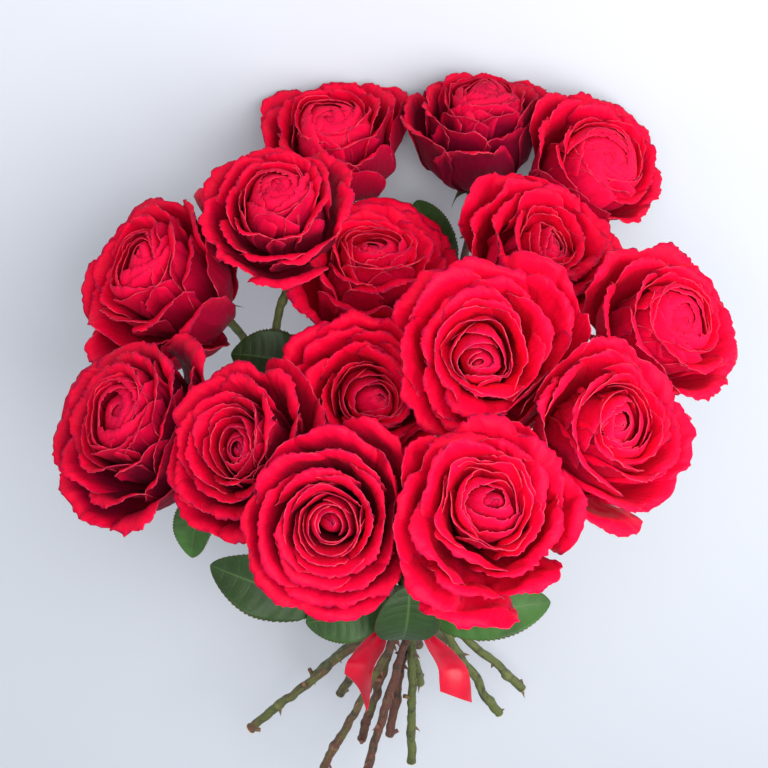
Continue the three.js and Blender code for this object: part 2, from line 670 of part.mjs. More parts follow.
// A loose end of the ribbon, along its middle line, waved and cut slantwise.
function tailSolid({ line, across }) {
  const curve = new THREE.CatmullRomCurve3(line.map((point) => vector(...point)));
  const side = vector(...across).normalize();
  const count = 6;
  const rows = [];
  for (let i = 0; i <= count; i += 1) {
    const u = i / count;
    const half = 0.5 * RIBBON_WIDTH * (0.35 + 0.65 * smooth(u * 2.5));
    const edge = (v) => curve.getPointAt(u).addScaledVector(side, v * half)
      .addScaledVector(curve.getTangentAt(u), i === count ? v * RIBBON_SLANT : 0);
    rows.push(i === 0 ? [edge(-1), edge(1)] : [edge(-1), edge(0), edge(1)]);
  }
  return toSolid(blade(rows, RIBBON_THICK));
}

// ---------------------------------------------------------------- laying the bunch down

// The turn from the bunch's frame to the table's, where +Z is up.
function lyingTurn() {
  const tilt = radians(LIE_TILT);
  const basis = new THREE.Matrix4().makeBasis(
    vector(-1, 0, 0),
    vector(0, -Math.sin(tilt), -Math.cos(tilt)),
    vector(0, -Math.cos(tilt), Math.sin(tilt)));
  basis.multiply(new THREE.Matrix4().makeRotationZ(radians(LIE_ROLL)));
  return new THREE.Quaternion().setFromRotationMatrix(basis);
}

// The box round all pieces as they lie, before they are lowered on to the table.
function lyingBox(pieces, turn) {
  const box = new THREE.Box3();
  for (const { solid } of pieces) {
    const geometry = toGeometry(solid).applyQuaternion(turn);
    geometry.computeBoundingBox();
    box.union(geometry.boundingBox);
  }
  return box;
}

// Everything under the table's face, in the bunch's frame.
function tableSolid(level, turn) {
  const table = new THREE.BoxGeometry(2000, 2000, 100);
  table.translate(0, 0, level - 50);
  table.applyQuaternion(turn.clone().invert());
  return toSolid(table);
}

// ---------------------------------------------------------------- the bunch

const pieces = [];
for (const rose of roses) {
  const name = `rose_${String(rose.number).padStart(2, '0')}`;
  pieces.push({ name: `${name}_petals`, solid: groove(bloomSolid(rose), rose), material: petalFinish });
  pieces.push({ name: `${name}_stem`, solid: stemSolid(rose), material: stemFinish });
}
LEAVES.forEach((leaf, index) => {
  const name = `leaf_${String(index + 1).padStart(2, '0')}`;
  pieces.push({ name, solid: leafSolid(leaf), material: leafFinish });
});
pieces.push({ name: 'ribbon_wrap', solid: wrapSolid(), material: ribbonFinish });
pieces.push({ name: 'ribbon_knot', solid: knotSolid(), material: ribbonFinish });
pieces.push({ name: 'ribbon_tail_left', solid: tailSolid(TAIL_LEFT), material: ribbonFinish });
pieces.push({ name: 'ribbon_tail_right', solid: tailSolid(TAIL_RIGHT), material: ribbonFinish });

const turn = lyingTurn();
const lying = lyingBox(pieces, turn);
const tableLevel = lying.min.z + REST_TRIM;
const table = tableSolid(tableLevel, turn);

const bunch = new THREE.Group();
bunch.quaternion.copy(turn);
bunch.position.set(
  -(lying.min.x + lying.max.x) / 2, -(lying.min.y + lying.max.y) / 2, -tableLevel);
for (const { name, solid, material } of pieces) {
  const mesh = new THREE.Mesh(toGeometry(solid.subtract(table)), material);
  mesh.name = name;
  bunch.add(mesh);
}

const object = new THREE.Group();
object.add(bunch);
export default object;
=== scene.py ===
"""The looks of a hand-tied bunch of red roses that lies on its side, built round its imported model.

Lengths in the tables are millimetres and angles are degrees, in the bunch's own frame: its origin
is where the ribbon ties the stems, +Z runs towards the blooms, +X to the right and -Y towards the
side that faces up as it lies. Blender's metres and the table's frame come in at the end, in lay().
"""

import math

import bpy
import numpy as np
from mathutils import Matrix, Vector


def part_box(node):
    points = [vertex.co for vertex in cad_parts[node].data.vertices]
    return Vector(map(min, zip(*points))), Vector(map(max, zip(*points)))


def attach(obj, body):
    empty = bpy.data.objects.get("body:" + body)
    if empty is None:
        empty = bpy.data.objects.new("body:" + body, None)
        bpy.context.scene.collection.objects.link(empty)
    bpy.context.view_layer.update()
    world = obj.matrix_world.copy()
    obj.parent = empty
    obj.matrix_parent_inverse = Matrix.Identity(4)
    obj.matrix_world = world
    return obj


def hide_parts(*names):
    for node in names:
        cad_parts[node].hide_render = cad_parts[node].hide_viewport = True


bl_info = {
    "name": "Bunch of roses",
    "version": (1, 0, 0),
    "blender": (4, 5, 0),
    "location": "3D View > Sidebar > Roses",
    "description": "Dresses a tied bunch of roses: blooms, stems, leaves, ribbon and stage",
    "category": "Object",
}

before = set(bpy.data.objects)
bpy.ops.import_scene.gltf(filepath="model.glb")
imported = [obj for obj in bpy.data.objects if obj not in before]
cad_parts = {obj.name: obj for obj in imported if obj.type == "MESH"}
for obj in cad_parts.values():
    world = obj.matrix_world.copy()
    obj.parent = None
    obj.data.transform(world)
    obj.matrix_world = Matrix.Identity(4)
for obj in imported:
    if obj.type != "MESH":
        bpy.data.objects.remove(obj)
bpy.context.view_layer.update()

MM = 0.001

# ---------------------------------------------------------------- driving dimensions

# Where each bloom's middle lies, as an angle around the bunch, an angle off its axis and a
# distance from the tie; which way the bloom faces, as the same two angles; its width; how closed
# its bud is and how far its outer petals hang, both 0 to 1; and its stem's cut end.
ROSES = [
    ((104, 33, 327), (147, 8), 101, 0.8, 0.1, (-8, -33, -145)),
    ((75, 32, 331), (96, 15), 101, 0.7, 0.0, (-31, -65, -178)),
    ((49, 33, 337), (334, 28), 107, 0.9, 0.4, (-69, -59, -186)),
    ((150, 15, 344), (225, 17), 103, 0.7, 0.5, (14, -14, -100)),
    ((109, 16, 270), (13, 7), 121, 0.3, 0.6, (8, -49, -156)),
    ((40, 20, 302), (318, 20), 107, 0.3, 0.5, (-30, -36, -147)),
    ((161, 31, 309), (197, 40), 123, 0.6, 0.2, (74, -21, -135)),
    ((352, 26, 343), (331, 33), 111, 0.7, 0.6, (-114, -29, -142)),
    ((308, 12, 338), (270, 28), 113, 0.1, 0.8, (-46, -8, -127)),
    ((241, 11, 280), (249, 26), 104, 0.2, 0.5, (14, 20, -102)),
    ((200, 34, 310), (203, 41), 124, 0.5, 0.4, (92, -6, -122)),
    ((227, 25, 324), (213, 35), 112, 0.1, 0.7, (34, 28, -110)),
    ((318, 27, 347), (322, 37), 116, 0.4, 0.6, (-66, 4, -122)),
    ((256, 28, 345), (259, 43), 104, 0.0, 0.7, (-8, 46, -122)),
    ((284, 28, 366), (275, 26), 111, 0.2, 0.8, (-36, 36, -112)),
]

# How each bloom looks: how much fuller it is than its imported model, how unruly its petals are and
# how far its heart is twisted; how far right and up its heart lies, in bloom radii, and how far
# the whole bloom does; and how much painted shade darkens its hollows, 0 to 1.
LOOKS = [
    (1.20, 0.7, 0.5, (0.02, -0.52), (0, -2), 0.36),
    (1.17, 0.9, 0.3, (0.12, -0.30), (0, 3), 0.66),
    (1.10, 0.7, 1.1, (-0.22, -0.36), (-1, 0), 0.26),
    (1.02, 0.8, 0.6, (0.22, 0.00), (0, 0), 0.48),
    (1.08, 1.0, 0.3, (0.02, -0.40), (0, 0), 0.00),
    (1.12, 1.2, 0.3, (0.00, -0.38), (2, -4), 0.10),
    (1.12, 1.0, 0.4, (0.38, 0.02), (0, -5), 0.40),
    (1.04, 0.7, 0.9, (-0.16, -0.15), (-1, -1), 0.14),
    (1.11, 1.2, 0.5, (-0.22, -0.25), (3, -5), 0.00),
    (1.10, 0.8, 0.5, (0.32, -0.18), (0, 0), 0.02),
    (1.04, 0.9, 0.4, (0.48, 0.02), (2, 0), 0.62),
    (1.02, 0.8, 0.5, (0.43, -0.22), (0, 2), 0.42),
    (1.04, 0.7, 2.2, (-0.25, -0.12), (-8, 5), 0.06),
    (1.10, 0.7, 0.5, (0.12, 0.04), (-2, 0), 0.42),
    (1.06, 1.4, 0.4, (0.00, 0.00), (-3, 0), 0.12),
]

LIE_TILT = 22.85               # how steeply the bunch's axis rises from its blooms' end
LIE_ROLL = 2.7                 # turn of the bunch about its own axis as it lies

PETAL_TURN = 137.5             # from one petal to the next
BLOOM_TALL = 1.12              # stretch of the petal curves along the bloom's axis
CALYX_DEPTH = 0.75             # from a bloom's middle down to its calyx, in bloom radii
CROWD_RANGE = 1.25             # how near neighbours are, in sums of their radii
CROWD_REACH = 6                # how near a neighbour's boundary a petal begins to bend away
CROWD_GAP = 0.3                # what it keeps from that boundary
CROWD_LEAN = 0.45              # how far a boundary leans at least, for the nearer to overlap
PETAL_ACROSS, PETAL_ALONG = 33, 18    # points of a petal's grid

STEM_STATIONS = 9              # points that a stem's path bends at
TIE_STATION = 3                # of them, the one at the tie, counted from the cut end
STEM_KINK = 4                  # how far a stem bends off its line between its end and the tie
STEM_SPACING = 5.7             # least distance between the middles of two stems
SPREAD_PASSES = 90             # how often they are moved apart
STEM_EASE = 0.1                # how far each of the first passes straightens a bend
BLOOM_PUSH = 0.6               # how much of what it lacks from a bloom a pass makes up
BLOOM_CLEARANCE = 3.4          # what a passing stem keeps from a bloom's outer petals
BELLY = 0.82                   # half the width of a bloom, in bloom radii, at its widest
BELLY_ABOVE = 0.72             # from its calyx up to there
HIP_BELOW = 0.04               # from its calyx down to the top of its hip
SEAT_GAP = 0.3                 # between a bloom and its hip
NECK_LENGTH = 18               # straight stretch under each calyx
STEM_ACROSS = 5.4              # from the tie upwards
STEM_END_ACROSS = 7.0          # at the cut end

# The order of the stems in the two rings that they form where they are tied: radius, the angle
# of the first one, and the roses.
OUTER_RING = (10.6, -80, (8, 3, 2, 1, 7, 11, 12, 14, 15, 13))
INNER_RING = (4.9, 250, (9, 6, 5, 4, 10))

# Leaves: the stem that each grows on and how far above the tie, the foot and the tip of its end
# leaflet, which way its upper face looks, its width, its pairs of side leaflets, how much it
# arches, how much it is folded along its midrib and how fresh its green is.
LEAVES = [
    (12, 34, (-53, -37, 48), (-127, -33, 78), (-0.1, -0.7, 0.7), 42, 0, 0.12, 0.22, 0.1),
    (14, 40, (-12, -41, 51), (-64, -58, 48), (-0.1, -0.8, 0.6), 36, 0, 0.10, 0.20, 0.3),
    (15, 58, (4, -54, 86), (0, -66, 36), (0.1, -0.9, 0.5), 42, 0, 0.12, 0.16, 0.1),
    (13, 34, (20, -47, 44), (97, -50, 62), (0.1, -0.6, 0.8), 38, 0, 0.12, 0.20, 0.8),
    (11, 150, (-120, -38, 172), (-134, -72, 148), (-0.4, -0.5, 0.7), 28, 0, 0.10, 0.25, 0.8),
    (7, 130, (-150, -2, 150), (-205, -34, 182), (-0.6, -0.3, 0.7), 32, 1, 0.12, 0.20, 0.1),
    (4, 200, (-58, 16, 225), (-106, 18, 238), (-0.2, -0.4, 0.9), 34, 0, 0.10, 0.22, 0.0),
    (2, 190, (30, 112, 214), (8, 142, 246), (-0.3, -0.5, 0.8), 30, 0, 0.14, 0.30, 0.3),
]
LEAF_ACROSS, LEAF_ALONG = 21, 145     # points of a leaflet's grid
LEAF_VEINS = 9                 # side veins on each side of a leaflet
STALK_ACROSS = 2.2
STALK_BOW = 3                  # how far a leaf's stalk bows outwards
STALK_SINK = 0.4               # how far its root is sunk into the stem
BLADE_SINK = 1.5               # how far an end leaflet's foot runs back over its stalk
SIDE_LEAN = 0.55               # how far side leaflets lean forwards
SIDE_LONG, SIDE_WIDE = 1.15, 0.7      # their length and width, in widths of the end leaflet
PAIR_FIRST, PAIR_STEP = 0.25, 0.4     # where their pairs sit, from the stalk's tip to its root

WRAP_HALF_WIDTH = 11           # of the band, along the stems
WRAP_GAP = 0.6                 # between the outermost stems and the band
KNOT_GAP = 0.7                 # between the band's waist and the knot
KNOT_SIZE = (16, 9, 14)        # across, deep and high
RIBBON_WIDTH = 25.0
RIBBON_SLANT = 9.0             # how far one corner of a cut end runs past the middle
# Each loose end: its middle line from the knot, and the way across it there.
TAILS = [
    ("ribbon_tail_left", ((-10.1, -24.3, -3), (-18, -38, -2), (-28, -58, -4), (-31, -68, -22)),
     (0.7, -0.3, 0.6)),
    ("ribbon_tail_right", ((10.7, -24.4, -3), (21, -40, -4), (34, -58, -8), (38, -70, -26)),
     (0.7, 0.2, -0.6)),
]

VIEW_ANGLE = 40                # between the bunch's axis and the line of sight
RIGHT = Vector((1, 0, 0))      # the viewer's right, up and nearer, in the bunch's frame
UPWARD = Vector((0, math.cos(math.radians(VIEW_ANGLE)), math.sin(math.radians(VIEW_ANGLE))))
NEARER = RIGHT.cross(UPWARD)
EYE = (-12.7, 147.2, 1300.0)   # of the camera from the tie: right, up and towards the viewer
LENS = 86.13
SENSOR = 36                    # width of the camera's picture behind the lens

# Lights: where each hangs, right, up and towards the viewer from the tie; its width in metres and
# its power in watts.
LIGHTS = {
    "key": ((600, 0, 1250), 1.2, 23.0),
    "front": ((0, 100, 1500), 0.6, 7.0),
    "fill": ((-900, 0, 900), 1.2, 3.0),
    "side": ((1100, -100, 500), 0.8, 1.5),
}
LIT_POINT = (0, 150, 250)      # what they are aimed at
SKY = (0.90, 0.94, 1.0)
SKY_STRENGTH = 0.60
FLOOR_REACH = 4                # metres from the bunch to the floor's edges


# ---------------------------------------------------------------- settings

def colour_setting(name, description, default):
    return bpy.props.FloatVectorProperty(
        name=name, description=description, default=default, size=3, subtype="COLOR")


def length_setting(name, description, default):
    return bpy.props.FloatProperty(
        name=name, description=description, default=default * MM, unit="LENGTH", precision=5)


def share_setting(name, description, default, most):
    return bpy.props.FloatProperty(
        name=name, description=description, default=default, min=0.0, max=most,
        subtype="FACTOR")


def count_setting(name, description, default, least, most):
    return bpy.props.IntProperty(
        name=name, description=description, default=default, min=least, max=most)


class BloomSettings(bpy.types.PropertyGroup):
    """Sizes and colours of the blooms."""
    petals: count_setting("Petals", "Petals of a bloom", 38, 12, 48)
    thickness: length_setting("Petal thickness", "Thickness of a petal", 0.4)
    ruffle: share_setting("Ruffle", "How strongly the petals' lips are ruffled", 1.0, 2.0)
    face: colour_setting("Petal face", "Colour of a petal's inner face", (0.92, 0.001, 0.038))
    reverse: colour_setting("Petal reverse", "Colour of a petal's outer face", (0.76, 0.001, 0.044))


class StemSettings(bpy.types.PropertyGroup):
    """Shape and colours of the stems."""
    knots: share_setting("Joints", "How far a stem swells at its joints, as a share of its width",
                 0.22, 0.6)
    thorns: length_setting("Thorn spacing", "Distance from one thorn to the next", 34)
    green: colour_setting("Green bark", "Colour of the young bark", (0.080, 0.098, 0.020))
    brown: colour_setting("Red bark", "Colour of the reddish bark", (0.110, 0.034, 0.022))


class LeafSettings(bpy.types.PropertyGroup):
    """Shape and colours of the leaves."""
    thickness: length_setting("Leaf thickness", "Thickness of a leaf", 0.4)
    teeth: count_setting("Teeth", "Teeth along each edge of a leaflet", 24, 4, 60)
    upper: colour_setting("Upper face", "Colour of a leaf's upper face", (0.016, 0.040, 0.008))
    under: colour_setting("Underside", "Colour of a leaf's underside", (0.10, 0.16, 0.10))


class RibbonSettings(bpy.types.PropertyGroup):
    """Size and colour of the ribbon."""
    thickness: length_setting("Ribbon thickness", "Thickness of the satin", 0.35)
    satin: colour_setting("Satin", "Colour of the ribbon", (0.54, 0.003, 0.024))


class StageSettings(bpy.types.PropertyGroup):
    """Colour of the floor."""
    floor: colour_setting("Floor", "Colour of the floor", (0.505, 0.528, 0.575))


# ---------------------------------------------------------------- node trees

class Socket:
    """A value that runs through a node tree, with Python's own operators."""

    def __init__(self, tree, socket):
        self.tree = tree
        self.socket = socket

    def __add__(self, other):
        return self.tree.math("ADD", self, other)

    __radd__ = __add__

    def __sub__(self, other):
        return self.tree.math("SUBTRACT", self, other)

    def __rsub__(self, other):
        return self.tree.math("SUBTRACT", other, self)

    def __mul__(self, other):
        return self.tree.math("MULTIPLY", self, other)

    __rmul__ = __mul__

    def __truediv__(self, other):
        return self.tree.math("DIVIDE", self, other)

    def __pow__(self, other):
        return self.tree.math("POWER", self, other)

    def __neg__(self):
        return self.tree.math("MULTIPLY", self, -1.0)

    def __abs__(self):
        return self.tree.math("ABSOLUTE", self)

    def other(self, name):
        """Another output of the same node."""
        return Socket(self.tree, self.socket.node.outputs[name])


class Tree:
    """A node tree that is written as expressions."""

    def __init__(self, tree):
        self.tree = tree

    def add(self, kind, settings=None, inputs=None, output=0):
        """A new node: its settings are set first, then the values or links of its sockets."""
        node = self.tree.nodes.new(kind)
        for name, value in (settings or {}).items():
            setattr(node, name, value)
        for key, value in (inputs or {}).items():
            if isinstance(value, Socket):
                self.tree.links.new(value.socket, node.inputs[key])
            else:
                node.inputs[key].default_value = value
        return Socket(self, node.outputs[output])

    def math(self, operation, *values):
        return self.add("ShaderNodeMath", {"operation": operation}, dict(enumerate(values)))

    def sine(self, value):
        return self.math("SINE", value)

    def cosine(self, value):
        return self.math("COSINE", value)

    def least(self, a, b):
        return self.math("MINIMUM", a, b)

    def most(self, a, b):
        return self.math("MAXIMUM", a, b)

    def ramp(self, value, low, high, smooth=True):
        """From 0 where value is low to 1 where it is high."""
        kind = "SMOOTHSTEP" if smooth else "LINEAR"
        return self.add("ShaderNodeMapRange", {"interpolation_type": kind},
                        {"Value": value, "From Min": low, "From Max": high})

    def mix(self, factor, a, b):
        """Two colours mixed."""
        a, b = (value if isinstance(value, Socket) else (*value, 1.0) for value in (a, b))
        return self.add("ShaderNodeMix", {"data_type": "RGBA"}, {0: factor, 6: a, 7: b}, output=2)

    def noise(self, vector, scale, detail=3.0, roughness=0.55):
        return self.add("ShaderNodeTexNoise", {},
                        {"Vector": vector, "Scale": scale, "Detail": detail,
                         "Roughness": roughness})

    def combine(self, x, y, z):
        return self.add("ShaderNodeCombineXYZ", {}, {"X": x, "Y": y, "Z": z})

    def separate(self, vector):
        """The three numbers of a vector."""
        first = self.add("ShaderNodeSeparateXYZ", {}, {"Vector": vector})
        return first, first.other("Y"), first.other("Z")

    def drift(self, place, scale, detail):
        """A smooth shift that differs from place to place."""
        inputs = {"Vector": place, "Scale": scale, "Detail": detail}
        color = self.add("ShaderNodeTexNoise", {}, inputs, output="Color")
        return self.vector("SUBTRACT", color, (0.5, 0.5, 0.5))

    def vector(self, operation, *values):
        return self.add("ShaderNodeVectorMath", {"operation": operation}, dict(enumerate(values)))

    def scaled(self, vector, factor):
        return self.add("ShaderNodeVectorMath", {"operation": "SCALE"},
                        {"Vector": vector, "Scale": factor})

    def hump(self, value, width):
        """1 where value is 0, falling to 0 at width on either side."""
        return self.ramp(abs(value), width, 0.0)


class ShaderTree(Tree):
    """The node tree of a material with one Principled shader."""

    def __init__(self, material):
        super().__init__(material.node_tree)
        self.shader = material.node_tree.nodes["Principled BSDF"]

    def named(self, name):
        """One of the numbers that a piece carries at its points."""
        return self.add("ShaderNodeAttribute", {"attribute_name": name}, output="Fac")

    def coordinates(self, kind="Object"):
        return self.add("ShaderNodeTexCoord", output=kind)

    def into(self, name, value):
        self.tree.links.new(value.socket, self.shader.inputs[name])

    def constants(self, values):
        for name, value in values.items():
            self.shader.inputs[name].default_value = value

    def bump(self, height, strength, distance):
        self.into("Normal", self.add("ShaderNodeBump", {}, {
            "Strength": strength, "Distance": distance, "Height": height}))


def fresh_material(name):
    """A new material and its tree."""
    material = bpy.data.materials.new(name)
    material.use_nodes = True
    return material, ShaderTree(material)


def darker(color):
    return tuple(0.55 * part for part in color)


SOCKETS = {int: "NodeSocketInt", float: "NodeSocketFloat", tuple: "NodeSocketVector"}


class GeometryTree(Tree):
    """A Geometry Nodes tree with named inputs, whose kinds follow from their defaults."""

    def __init__(self, name, inputs):
        group = bpy.data.node_groups.new(name, "GeometryNodeTree")
        super().__init__(group)
        ports = group.interface
        ports.new_socket("Geometry", in_out="INPUT", socket_type="NodeSocketGeometry")
        ports.new_socket("Geometry", in_out="OUTPUT", socket_type="NodeSocketGeometry")
        for label, default in inputs.items():
            port = ports.new_socket(label, in_out="INPUT", socket_type=SOCKETS[type(default)])
            port.default_value = default
        ports.new_socket("Material", in_out="INPUT", socket_type="NodeSocketMaterial")
        self.entry = group.nodes.new("NodeGroupInput")
        self.exit = group.nodes.new("NodeGroupOutput")

    def given(self, label):
        return Socket(self, self.entry.outputs[label])

    def end(self, geometry):
        """Closes the tree: its instances are made real and its material is set."""
        done = self.add("GeometryNodeSetMaterial", {}, {
            "Geometry": self.real(geometry), "Material": self.given("Material")})
        self.tree.links.new(done.socket, self.exit.inputs["Geometry"])
        return self.tree

    def real(self, geometry):
        """Instances made real."""
        return self.add("GeometryNodeRealizeInstances", {}, {"Geometry": geometry})

    def store(self, geometry, name, value, kind="FLOAT", domain="POINT"):
        """Lets a geometry carry a value under a name."""
        return self.add("GeometryNodeStoreNamedAttribute", {"data_type": kind, "domain": domain},
                        {"Geometry": geometry, "Name": name, "Value": value})

    def named(self, name, kind="FLOAT"):
        return self.add("GeometryNodeInputNamedAttribute", {"data_type": kind}, {"Name": name})

    def draw(self, low, high, channel, ident=None):
        """A random number of each element's own."""
        inputs = {2: low, 3: high, "Seed": self.given("Seed") * 17 + channel}
        if ident:
            inputs["ID"] = ident
        return self.add("FunctionNodeRandomValue", {"data_type": "FLOAT"}, inputs, output=1)

    def scatter(self, points, instance, rotation, scale, chosen=None):
        """An instance on every chosen point."""
        inputs = {"Points": points, "Instance": instance, "Rotation": rotation, "Scale": scale}
        if chosen:
            inputs["Selection"] = chosen
        return self.add("GeometryNodeInstanceOnPoints", {}, inputs)

    def aimed(self, axis, direction, rotation=None, pivot="AUTO"):
        """The rotation that points an axis along a direction."""
        inputs = {"Vector": direction}
        if rotation:
            inputs["Rotation"] = rotation
        return self.add("FunctionNodeAlignRotationToVector",
                        {"axis": axis, "pivot_axis": pivot}, inputs)

    def grid(self, across, along):
        """A grid from -1 to 1 across and from 0 to 1 along, with its place kept as its UV map,
        and its two numbers."""
        grid = self.add("GeometryNodeMeshGrid", {}, {
            "Size X": 2.0, "Size Y": 1.0, "Vertices X": across, "Vertices Y": along})
        grid = self.store(grid, "UVMap", grid.other("UV Map"), "FLOAT2", "CORNER")
        side, y, _ = self.separate(self.add("GeometryNodeInputPosition"))
        return grid, side, y + 0.5

    def shaped(self, geometry, place):
        return self.add("GeometryNodeSetPosition", {}, {"Geometry": geometry, "Position": place})

    def moved(self, geometry, offset):
        return self.add("GeometryNodeSetPosition", {}, {"Geometry": geometry, "Offset": offset})

    def circle(self, sides):
        return self.add("GeometryNodeCurvePrimitiveCircle", {},
                        {"Resolution": sides, "Radius": 1.0})

    def tube(self, curve, profile):
        """A tube along a curve, as thick as the curve says at each of its points."""
        return self.add("GeometryNodeCurveToMesh", {}, {
            "Curve": curve, "Profile Curve": profile, "Scale": self.named("thick"),
            "Fill Caps": True})

    def joined(self, *geometries):
        node = self.tree.nodes.new("GeometryNodeJoinGeometry")
        for geometry in geometries:
            self.tree.links.new(geometry.socket, node.inputs[0])
        return Socket(self, node.outputs[0])

    def route(self, step):
        """The given path as a smooth curve with a point at every step, which carries how far
        along it lies."""
        curve = self.add("GeometryNodeMeshToCurve", {}, {"Mesh": self.given("Geometry")})
        curve = self.add("GeometryNodeCurveSplineType", {"spline_type": "CATMULL_ROM"},
                         {"Curve": curve})
        curve = self.add("GeometryNodeResampleCurve", {"mode": "LENGTH"},
                         {"Curve": curve, "Length": step})
        return self.store(curve, "along", self.add("GeometryNodeSplineParameter", output="Length"))


def line_through(points):
    """A mesh of one line through points."""
    line = bpy.data.meshes.new("path")
    line.from_pydata(points, [(k, k + 1) for k in range(len(points) - 1)], [])
    return line


def grown(name, group, values, source=None):
    """A plain mesh object from a Geometry Nodes tree with these values of its named inputs."""
    base = bpy.data.objects.new(name, source or bpy.data.meshes.new(name))
    bpy.context.scene.collection.objects.link(base)
    modifier = base.modifiers.new("Shape", "NODES")
    modifier.node_group = group
    for item in group.interface.items_tree:
        if item.in_out == "INPUT" and item.name in values:
            modifier[item.identifier] = values[item.name]
    graph = bpy.context.evaluated_depsgraph_get()
    mesh = bpy.data.meshes.new_from_object(base.evaluated_get(graph))
    bpy.data.objects.remove(base)
    mesh.name = name
    piece = bpy.data.objects.new(name, mesh)
    bpy.context.scene.collection.objects.link(piece)
    return piece


# ---------------------------------------------------------------- the bunch's frame

def direction(around, off):
    """The direction at an angle around the bunch's axis and an angle off it."""
    a, o = math.radians(around), math.radians(off)
    return Vector((math.sin(o) * math.cos(a), math.sin(o) * math.sin(a), math.cos(o)))


def lying():
    """The matrix from the bunch's frame, in millimetres, to the table's, in metres."""
    tilt = math.radians(LIE_TILT)
    columns = ((-1, 0, 0), (0, -math.sin(tilt), -math.cos(tilt)),
               (0, -math.cos(tilt), math.sin(tilt)))
    turn = Matrix(columns).transposed() @ Matrix.Rotation(math.radians(LIE_ROLL), 3, "Z")
    low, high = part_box("ribbon_wrap")
    return Matrix.Translation((low + high) / 2) @ turn.to_4x4() @ Matrix.Scale(MM, 4)


LYING = lying()


class Rose:
    """One rose of the bunch: where its bloom lies and which way it faces."""

    def __init__(self, number, row):
        place, faces, across, self.bud, self.droop, end = row
        self.number = number
        self.radius = across / 2
        self.axis = direction(*faces)
        self.middle = direction(place[0], place[1]) * place[2]
        self.calyx = self.middle - self.axis * CALYX_DEPTH * self.radius
        self.turn = Vector((0, 0, 1)).rotation_difference(self.axis)
        self.end = Vector(end)
        self.name = f"rose_{number:02d}"


roses = [Rose(number, row) for number, row in enumerate(ROSES, 1)]

# Straight down in the bunch's frame.
DOWN = (LYING.to_3x3().inverted() @ Vector((0, 0, -1))).normalized()


def boundaries(rose):
    """The flat boundaries that a rose's petals keep within: the floor, and one to each neighbour
    whose petals would reach it, leaning so that the nearer bloom overlaps the one behind it."""
    planes = [(np.array(DOWN), (LYING @ rose.middle).z / MM)]
    for other in roses:
        between = other.middle - rose.middle
        if other is rose or between.length > CROWD_RANGE * (rose.radius + other.radius):
            continue
        depth = between.normalized().dot(NEARER)
        lean = math.copysign(max(CROWD_LEAN - abs(depth), 0), depth)
        toward = (between.normalized() + NEARER * lean).normalized()
        share = rose.radius / (rose.radius + other.radius)
        planes.append((np.array(toward), between.dot(toward) * share))
    return planes


def keep_clear(points, rose):
    """Bends points of petals back from every boundary that they come near or cross."""
    soft = CROWD_REACH - CROWD_GAP
    middle = np.array(rose.middle)
    for _ in range(2):
        for toward, reach in boundaries(rose):
            inside = reach - (points - middle) @ toward
            kept = CROWD_GAP + soft * np.exp(np.minimum(inside - CROWD_REACH, 0) / soft)
            shift = np.where(inside < CROWD_REACH, inside - kept, 0)
            points = points + shift[:, None] * toward
    return points


def thicken(piece, thickness, reverse=0, rim=0):
    """Gives a flat piece a thickness; reverse and rim tell which of its materials its other side
    and its rim have, counted from its own."""
    shell = piece.modifiers.new("Thickness", "SOLIDIFY")
    shell.thickness = thickness
    shell.offset = 0
    shell.material_offset = reverse
    shell.material_offset_rim = rim


def keep(piece, node):
    """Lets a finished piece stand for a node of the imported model."""
    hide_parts(node)
    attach(piece, "root")


def lay(piece, sharp=None):
    """Takes a piece from the bunch's frame to the table's and smooths its shading, but for edges
    that are sharper than an angle."""
    mesh = piece.data
    mesh.transform(LYING)
    mesh.shade_smooth()
    if sharp:
        mesh.set_sharp_from_angle(angle=math.radians(sharp))
    mesh.update()


# ---------------------------------------------------------------- petals

HEART_RED = (0.92, 0.002, 0.050)
# Painted shade in a bloom's hollows.
PAINTED_HOLLOW_SHADE = (0.13, 0.0, 0.015)
FADED_LIP = (0.30, 0.002, 0.045)
# Darker reds of a petal's face and reverse: random clouds, and painted shade towards the petal's foot.
FACE_CLOUD_AND_PAINTED_SHADE = (0.50, 0.0, 0.012)
REVERSE_CLOUD_AND_PAINTED_SHADE = (0.28, 0.0, 0.02)
# Pale pink in patches on a petal's rim: partly a paler dried edge, partly a painted glint.
RIM_DRIED_AND_PAINTED_GLINT = (0.80, 0.09, 0.14)
# Dark maroon of a rim: random patches, and painted shade towards the petal's foot.
RIM_CLOUD_AND_PAINTED_SHADE = (0.24, 0.002, 0.03)


def bezier(a, b, c, d, u):
    w = 1 - u
    return w * w * w * a + 3 * w * w * u * b + 3 * w * u * u * c + u * u * u * d


